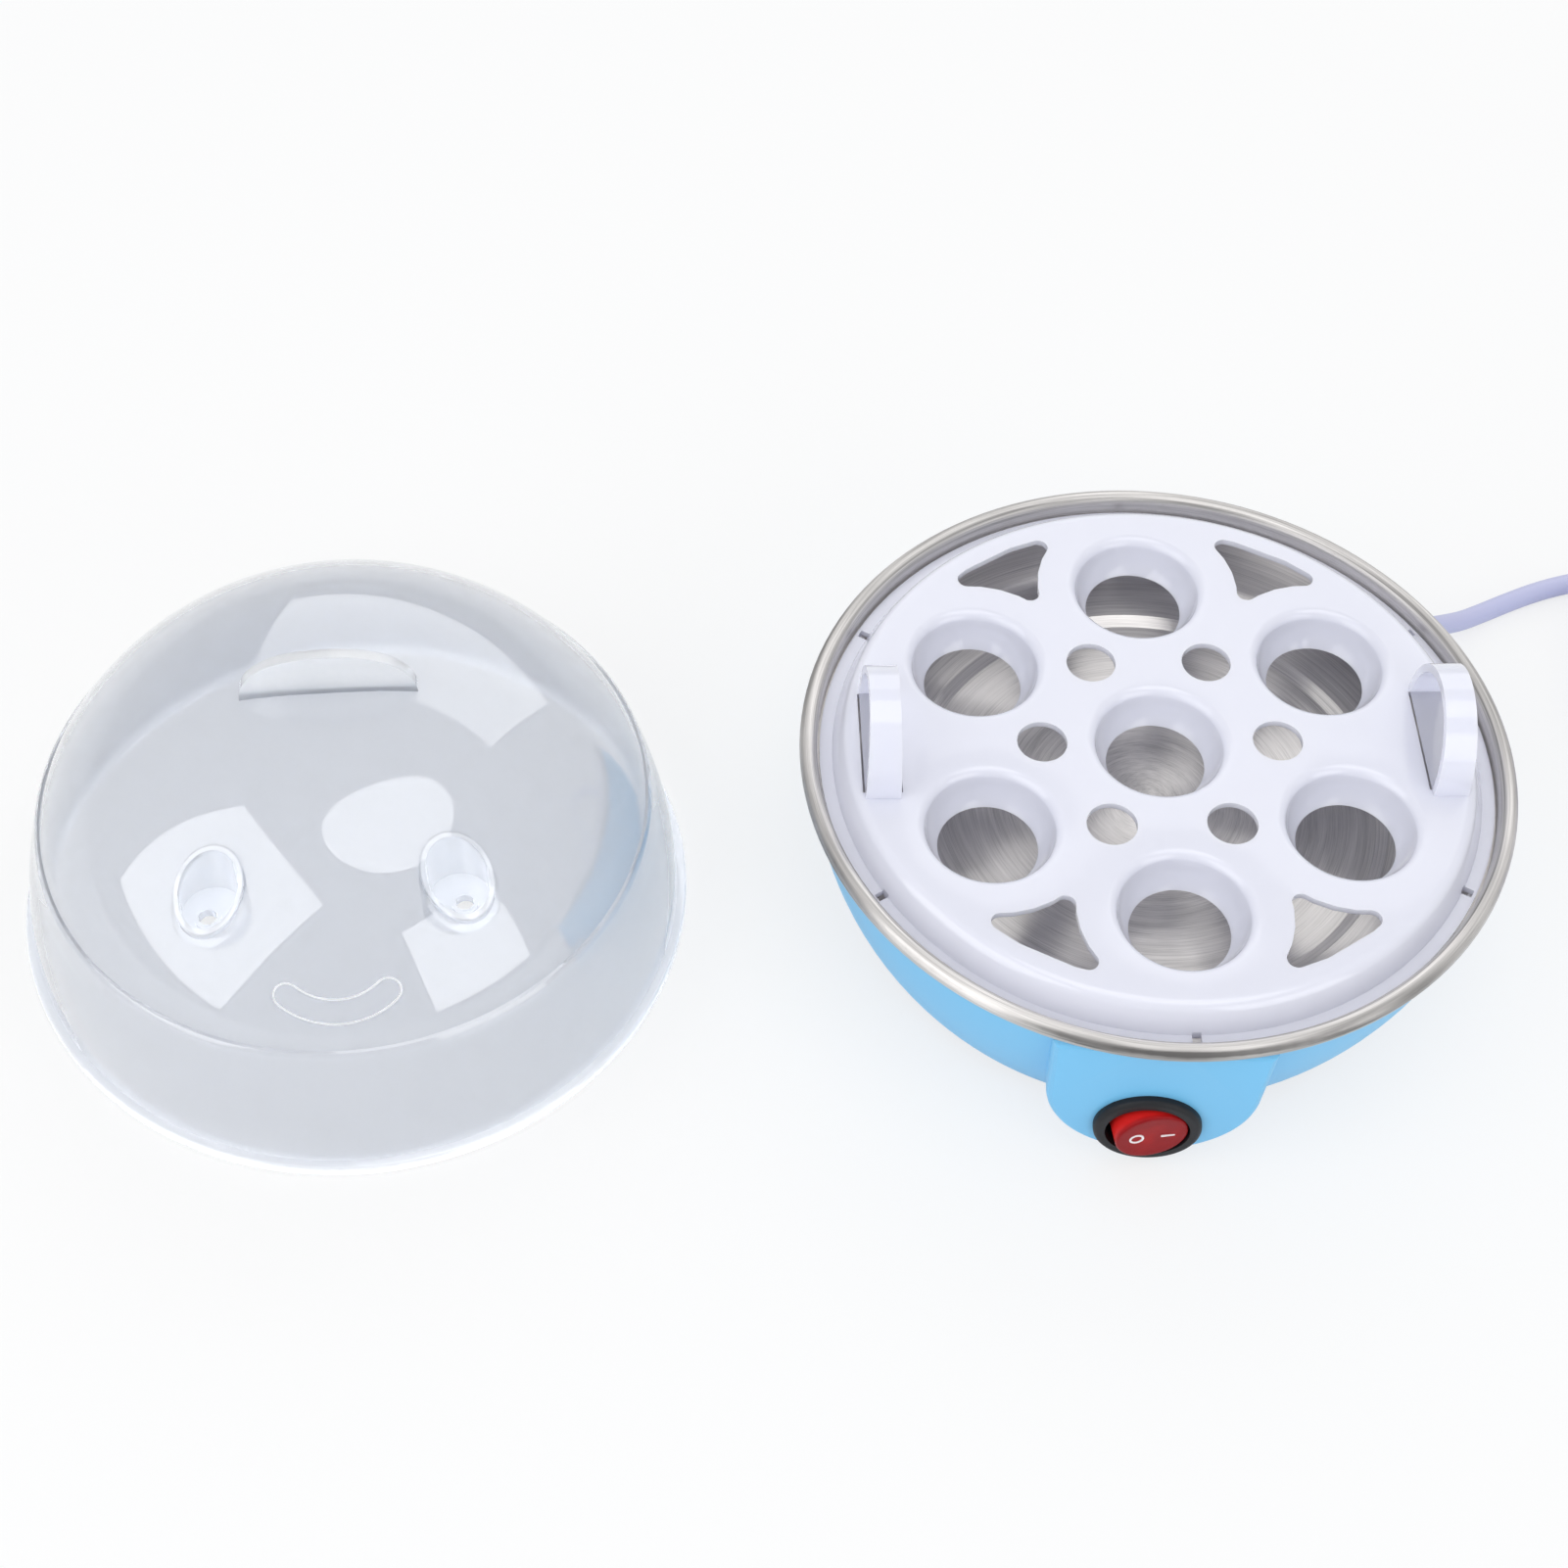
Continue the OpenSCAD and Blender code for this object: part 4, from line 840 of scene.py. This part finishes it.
ridges = Recipe("row_of_ridges", Count="Int", First="Vector", Step="Vector",
                Left="Vector", Right="Vector", Thick="Float")
row = ridges.node("GeometryNodeMeshLine", {"mode": "OFFSET"},
                  {"Count": ridges.given("Count"), "Start Location": ridges.given("First"),
                   "Offset": ridges.given("Step")})
straight = ridges.node("GeometryNodeCurvePrimitiveLine", {},
                       {"Start": ridges.given("Left"), "End": ridges.given("Right")})
fine_line = ridges.node("GeometryNodeResampleCurve", {}, {"Curve": straight, "Count": 33})
off_middle = ridges.node("GeometryNodeSplineParameter") * 2 - 1     # from -1 to 1 along it
square = off_middle * off_middle
fourth = square * square
soft_ends = ridges.node("GeometryNodeSetCurveRadius", {},
                        {"Curve": fine_line, "Radius": 1 - fourth * fourth * fourth * 0.9})
bar = ridges.swept(soft_ends, ridges.given("Thick"), 16)
ridges.ends_with(ridges.node("GeometryNodeInstanceOnPoints", {}, {"Points": row, "Instance": bar}),
                 cord_lilac)

plug_low, plug_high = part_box("plug")
first_ridge = Vector(((plug_low.x + plug_high.x) / 2, plug_high.y - RIDGE_FROM,
                      plug_high.z + RIDGE_PROUD - RIDGE_THICK))
plug_ridges = ridges.bake(empty_piece("ridge_seed"), "plug_ridges", Count=RIDGES,
                          First=first_ridge, Step=(0, -RIDGE_STEP, 0), Left=(-RIDGE_HALF, 0, 0),
                          Right=(RIDGE_HALF, 0, 0), Thick=RIDGE_THICK)
soften(plug_ridges)
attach(plug_ridges, "base")
print("ridges:", len(plug_ridges.data.polygons), "faces")

# %% [markdown]
# ## Twisted ends of the tie
# The coil's tie is a coated wire whose two ends are twisted together. Two strands could be drawn
# by hand, but a spiral curve gives one strand with the right pitch, and the other is the same
# strand after half a turn. The pair stands out of the coil's side and leans up a little.

# %% Twisted ends of the tie
TIE_TURNS, TIE_LONG = 4.5, 11 * MM
TIE_APART, TIE_WIRE = 0.55 * MM, 0.5 * MM   # from the pair's middle to a strand, a strand's radius
TIE_AT = math.radians(209.5)    # where on the coil it sits, counted from +X
TIE_OUT = 35.4 * MM         # the tie's outer side, from the coil's centre
TIE_Z = 5.7 * MM            # above the table
TIE_LEAN = 0.3              # its rise for each step outwards

twist = Recipe("twisted_pair", Turns="Float", Apart="Float", Length="Float", Thick="Float")
strand = twist.node("GeometryNodeCurveSpiral", {}, {
    "Resolution": 20, "Rotations": twist.given("Turns"), "Start Radius": twist.given("Apart"),
    "End Radius": twist.given("Apart"), "Height": twist.given("Length")})
other = twist.node("GeometryNodeTransform", {}, {"Geometry": strand, "Rotation": (0, 0, math.pi)})
pair = twist.node("GeometryNodeJoinGeometry", {}, {"Geometry": strand})
twist.links.new(other.socket, pair.socket.node.inputs["Geometry"])
twist.ends_with(twist.swept(pair, twist.given("Thick"), 12), tie_coating)

tie_ends = twist.bake(empty_piece("twist_seed"), "tie_ends", Turns=TIE_TURNS, Apart=TIE_APART,
                      Length=TIE_LONG, Thick=TIE_WIRE)
out_from_coil = Vector((math.cos(TIE_AT), math.sin(TIE_AT), 0))
tie_foot = BASE + Vector((*COIL_AT, 0)) * MM + out_from_coil * TIE_OUT + Vector((0, 0, TIE_Z))
tie_way = (out_from_coil + Vector((0, 0, TIE_LEAN))).to_track_quat("Z", "Y")
tie_ends.data.transform(Matrix.Translation(tie_foot) @ tie_way.to_matrix().to_4x4())
soften(tie_ends)
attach(tie_ends, "base")
print("twisted ends:", len(tie_ends.data.polygons), "faces")

# %% [markdown]

# %% [markdown]
# ## Putting the finishes on
# Each part could be given its finish where that finish is made, but a dictionary from part to
# finish can be read at a glance, and it is easy to see that no part was left out.

# %% Finishes put on the parts
FINISH_OF = {
    "housing": blue, "bottom_cover": cover_blue, "rubber_feet": rubber, "cover_screws": zinc,
    "heating_pan": steel, "pan_studs": zinc, "stud_nuts": zinc, "heater_plate": cast,
    "heating_tube": annealed, "tube_pins": ceramic, "thermostat": bakelite,
    "thermostat_strap": strap_steel, "strap_screws": zinc, "thermal_fuse": ceramic,
    "switch_body": switch_black, "switch_tabs": brass, "switch_lamp": lamp_glass,
    "switch_rocker": lens_red, "spade_terminals": brass, "live_lead": brown_wire,
    "neutral_leads": blue_wire, "switched_leads": sleeving, "strain_relief": cord_lilac,
    "cord_clamp": natural_nylon, "clamp_screws": zinc, "power_cord": cord_lilac,
    "cord_coil": cord_lilac, "cord_tie": tie_coating, "plug": cord_lilac, "plug_pins": nickel,
    "egg_tray": tray_white, "lid": lid_frost,
}


def wear(piece, finish):
    """Puts one finish on a whole piece."""
    piece.data.materials.clear()
    piece.data.materials.append(finish.material)


for name, finish in FINISH_OF.items():
    wear(nodes[name], finish)
wear(mains_lead, cord_lilac)
print("finished", len(FINISH_OF), "nodes; without one:", sorted(set(nodes) - set(FINISH_OF)))

# %% [markdown]
# ## Rounder highlights
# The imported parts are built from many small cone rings, and each ring mirrors as a flat band, so
# a lamp's image on the dome gets a stepped edge. The real mouldings are smooth. Smooth shading by
# an angle alone would leave the fans of thin triangles in view. So a copy of the mesh is merged,
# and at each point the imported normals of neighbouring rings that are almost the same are
# averaged, while true edges stay sharp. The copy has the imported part's exact shape and stands
# for it.

# %% Smooth-shaded copies
SMOOTHED = {        # part: the body it rides on and its slot
    "lid": ("lid", "lid_plastic"),
    "egg_tray": ("tray", "tray_plastic"),
    "heating_pan": ("base", "steel"),
    "housing": ("base", "blue_plastic"),
}
WELD = 0.002 * MM
NEARLY = math.cos(math.radians(22))     # normals closer than this are one smooth surface


def normals_by_place(mesh):
    """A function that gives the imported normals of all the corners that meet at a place."""
    tree = KDTree(len(mesh.loops))
    for k, corner in enumerate(mesh.loops):
        tree.insert(mesh.vertices[corner.vertex_index].co, k)
    tree.balance()
    found = {}

    def at(place):
        key = tuple(round(v / WELD) for v in place)
        if key not in found:
            found[key] = {tuple(short(mesh.corner_normals[k].vector))
                          for _, k, _ in tree.find_range(place, 2 * WELD)}
        return [Vector(n) for n in sorted(found[key])]
    return at


def smooth_copy(name, body):
    """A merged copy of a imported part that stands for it, with smooth normals."""
    source = nodes[name].data
    packed_at = normals_by_place(source)
    mesh = bmesh.new()
    mesh.from_mesh(source)
    bmesh.ops.remove_doubles(mesh, verts=mesh.verts, dist=WELD)
    loose = sum(len(edge.link_faces) != 2 for edge in mesh.edges)
    data = bpy.data.meshes.new(name + "_skin")
    mesh.to_mesh(data)
    mesh.free()
    data.shade_smooth()
    shown = []
    for face in data.polygons:
        for k in face.loop_indices:
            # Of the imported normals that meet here, those near this face's own are averaged.
            meeting = packed_at(data.vertices[data.loops[k].vertex_index].co)
            own = max(meeting, key=face.normal.dot)
            alike = (n for n in meeting if n.dot(own) > NEARLY)
            shown.append(sum(alike, Vector()).normalized())
    data.normals_split_custom_set(shown)
    skin = add_object(name + "_skin", data)
    wear(skin, FINISH_OF[name])
    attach(skin, body)
    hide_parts(name)
    print(name, len(data.vertices), "points,", loose, "open edges")


for name, (body, slot) in SMOOTHED.items():
    smooth_copy(name, body)

# %% [markdown]
# ## Studio
# A pale floor, an even pale room and four soft boxes: a round one overhead, one at each front
# corner, whose reflections sit on the lid, and a dimmer one behind. A brighter room would whiten
# the floor as well, but it would wash the cooker out. So the floor and the room look white only
# to the camera and through clear plastic, by what kind of ray asks. Mirrors see them partly
# whitened, so the steel keeps its contrast, and the shadow on the floor fades with the distance.

# %% Floor and room
scene = bpy.context.scene
scene.view_settings.view_transform = "Standard"
MIRROR_SHARE = 0.45                 # how far a mirror sees the floor and the room as white
FLOOR_SIZE, FLOOR_DROP = 16.0, 0.2 * MM
SHADOW = 0.28                       # the share of the shadow that the camera sees
FADE_FROM, FADE_TO = 0.35, 1.0      # it fades out over this stretch, from the scene's middle
ROOM_LEVEL = 0.58                   # the light of the room, where 1 is white
PAPER, WHITE = (0.86, 0.87, 0.88, 1), (1, 1, 1, 1)


def seen_directly(tree):
    """1 for rays from the camera or through clear plastic, a share of it for mirrors, else 0."""
    camera_ray, through, mirrored = (tree.node("ShaderNodeLightPath", output="Is " + kind + " Ray")
                                     for kind in ("Camera", "Transmission", "Glossy"))
    return (camera_ray + through + mirrored * MIRROR_SHARE).clamped()


def make_floor():
    """A paper floor that looks white to the camera, but for a part of the cooker's shadow."""
    bpy.ops.mesh.primitive_plane_add(size=FLOOR_SIZE, location=(0, 0, -FLOOR_DROP))
    floor = bpy.context.object
    floor.name = "floor"
    material = bpy.data.materials.new("floor_paper")
    material.use_nodes = True
    tree = Tree(material.node_tree)
    paper = tree.node("ShaderNodeBsdfDiffuse", {}, {"Color": PAPER})
    glow = tree.node("ShaderNodeEmission", {}, {"Color": WHITE})
    place = tree.node("ShaderNodeTexCoord", output="Object")
    away = tree.node("ShaderNodeVectorMath", {"operation": "LENGTH"}, {0: place}, output="Value")
    whitened = away.above(FADE_FROM, 1 / (FADE_TO - FADE_FROM)) * SHADOW + (1 - SHADOW)
    mix = tree.node("ShaderNodeMixShader", {},
                    {0: seen_directly(tree) * whitened, 1: paper, 2: glow})
    tree.end("ShaderNodeOutputMaterial", "Surface", mix)
    floor.data.materials.append(material)


def make_room():
    """An even room that lights the cooker less than it looks: to the camera it is white."""
    world = bpy.data.worlds.new("room")
    scene.world = world
    world.use_nodes = True
    tree = Tree(world.node_tree)
    strength = seen_directly(tree) * (1 - ROOM_LEVEL) + ROOM_LEVEL
    light = tree.node("ShaderNodeBackground", {}, {"Color": WHITE, "Strength": strength})
    tree.end("ShaderNodeOutputWorld", "Surface", light)


make_floor()
make_room()
print("floor and room ready")

# %% Soft boxes
DOME_TOP = LID + Vector((0, 0, 55 * MM))


def soft_box(name, azimuth, height, distance, size, glow, shape="RECTANGLE", roll=0):
    """A lamp that looks at the top of the dome. Azimuth, height and roll are in degrees, and the
    azimuth is measured from -Y towards +X. The glow is how bright the lamp's face looks, where 1
    is white."""
    lamp = bpy.data.lights.new(name, "AREA")
    lamp.shape = shape
    lamp.size, lamp.size_y = size
    area = size[0] * size[1] * (math.pi / 4 if shape == "ELLIPSE" else 1)
    lamp.energy = glow * math.pi * area
    box = add_object(name, lamp)
    a, e = math.radians(azimuth), math.radians(height)
    away = Vector((math.sin(a) * math.cos(e), -math.cos(a) * math.cos(e), math.sin(e)))
    box.location = DOME_TOP + away * distance
    facing = away.to_track_quat("Z", "Y") @ Quaternion((0, 0, 1), math.radians(roll))
    box.rotation_euler = facing.to_euler()


soft_box("box_over", azimuth=64, height=74, distance=1.1, size=(0.80, 0.80), glow=1.42,
         shape="ELLIPSE")
soft_box("box_left", azimuth=-50, height=34, distance=1.0, size=(1.0, 1.15), glow=1.42, roll=-12)
soft_box("box_right", azimuth=49, height=18, distance=1.1, size=(0.68, 0.68), glow=1.48)
soft_box("box_back", azimuth=170, height=33, distance=1.2, size=(1.4, 0.85), glow=0.92)
print("studio ready")
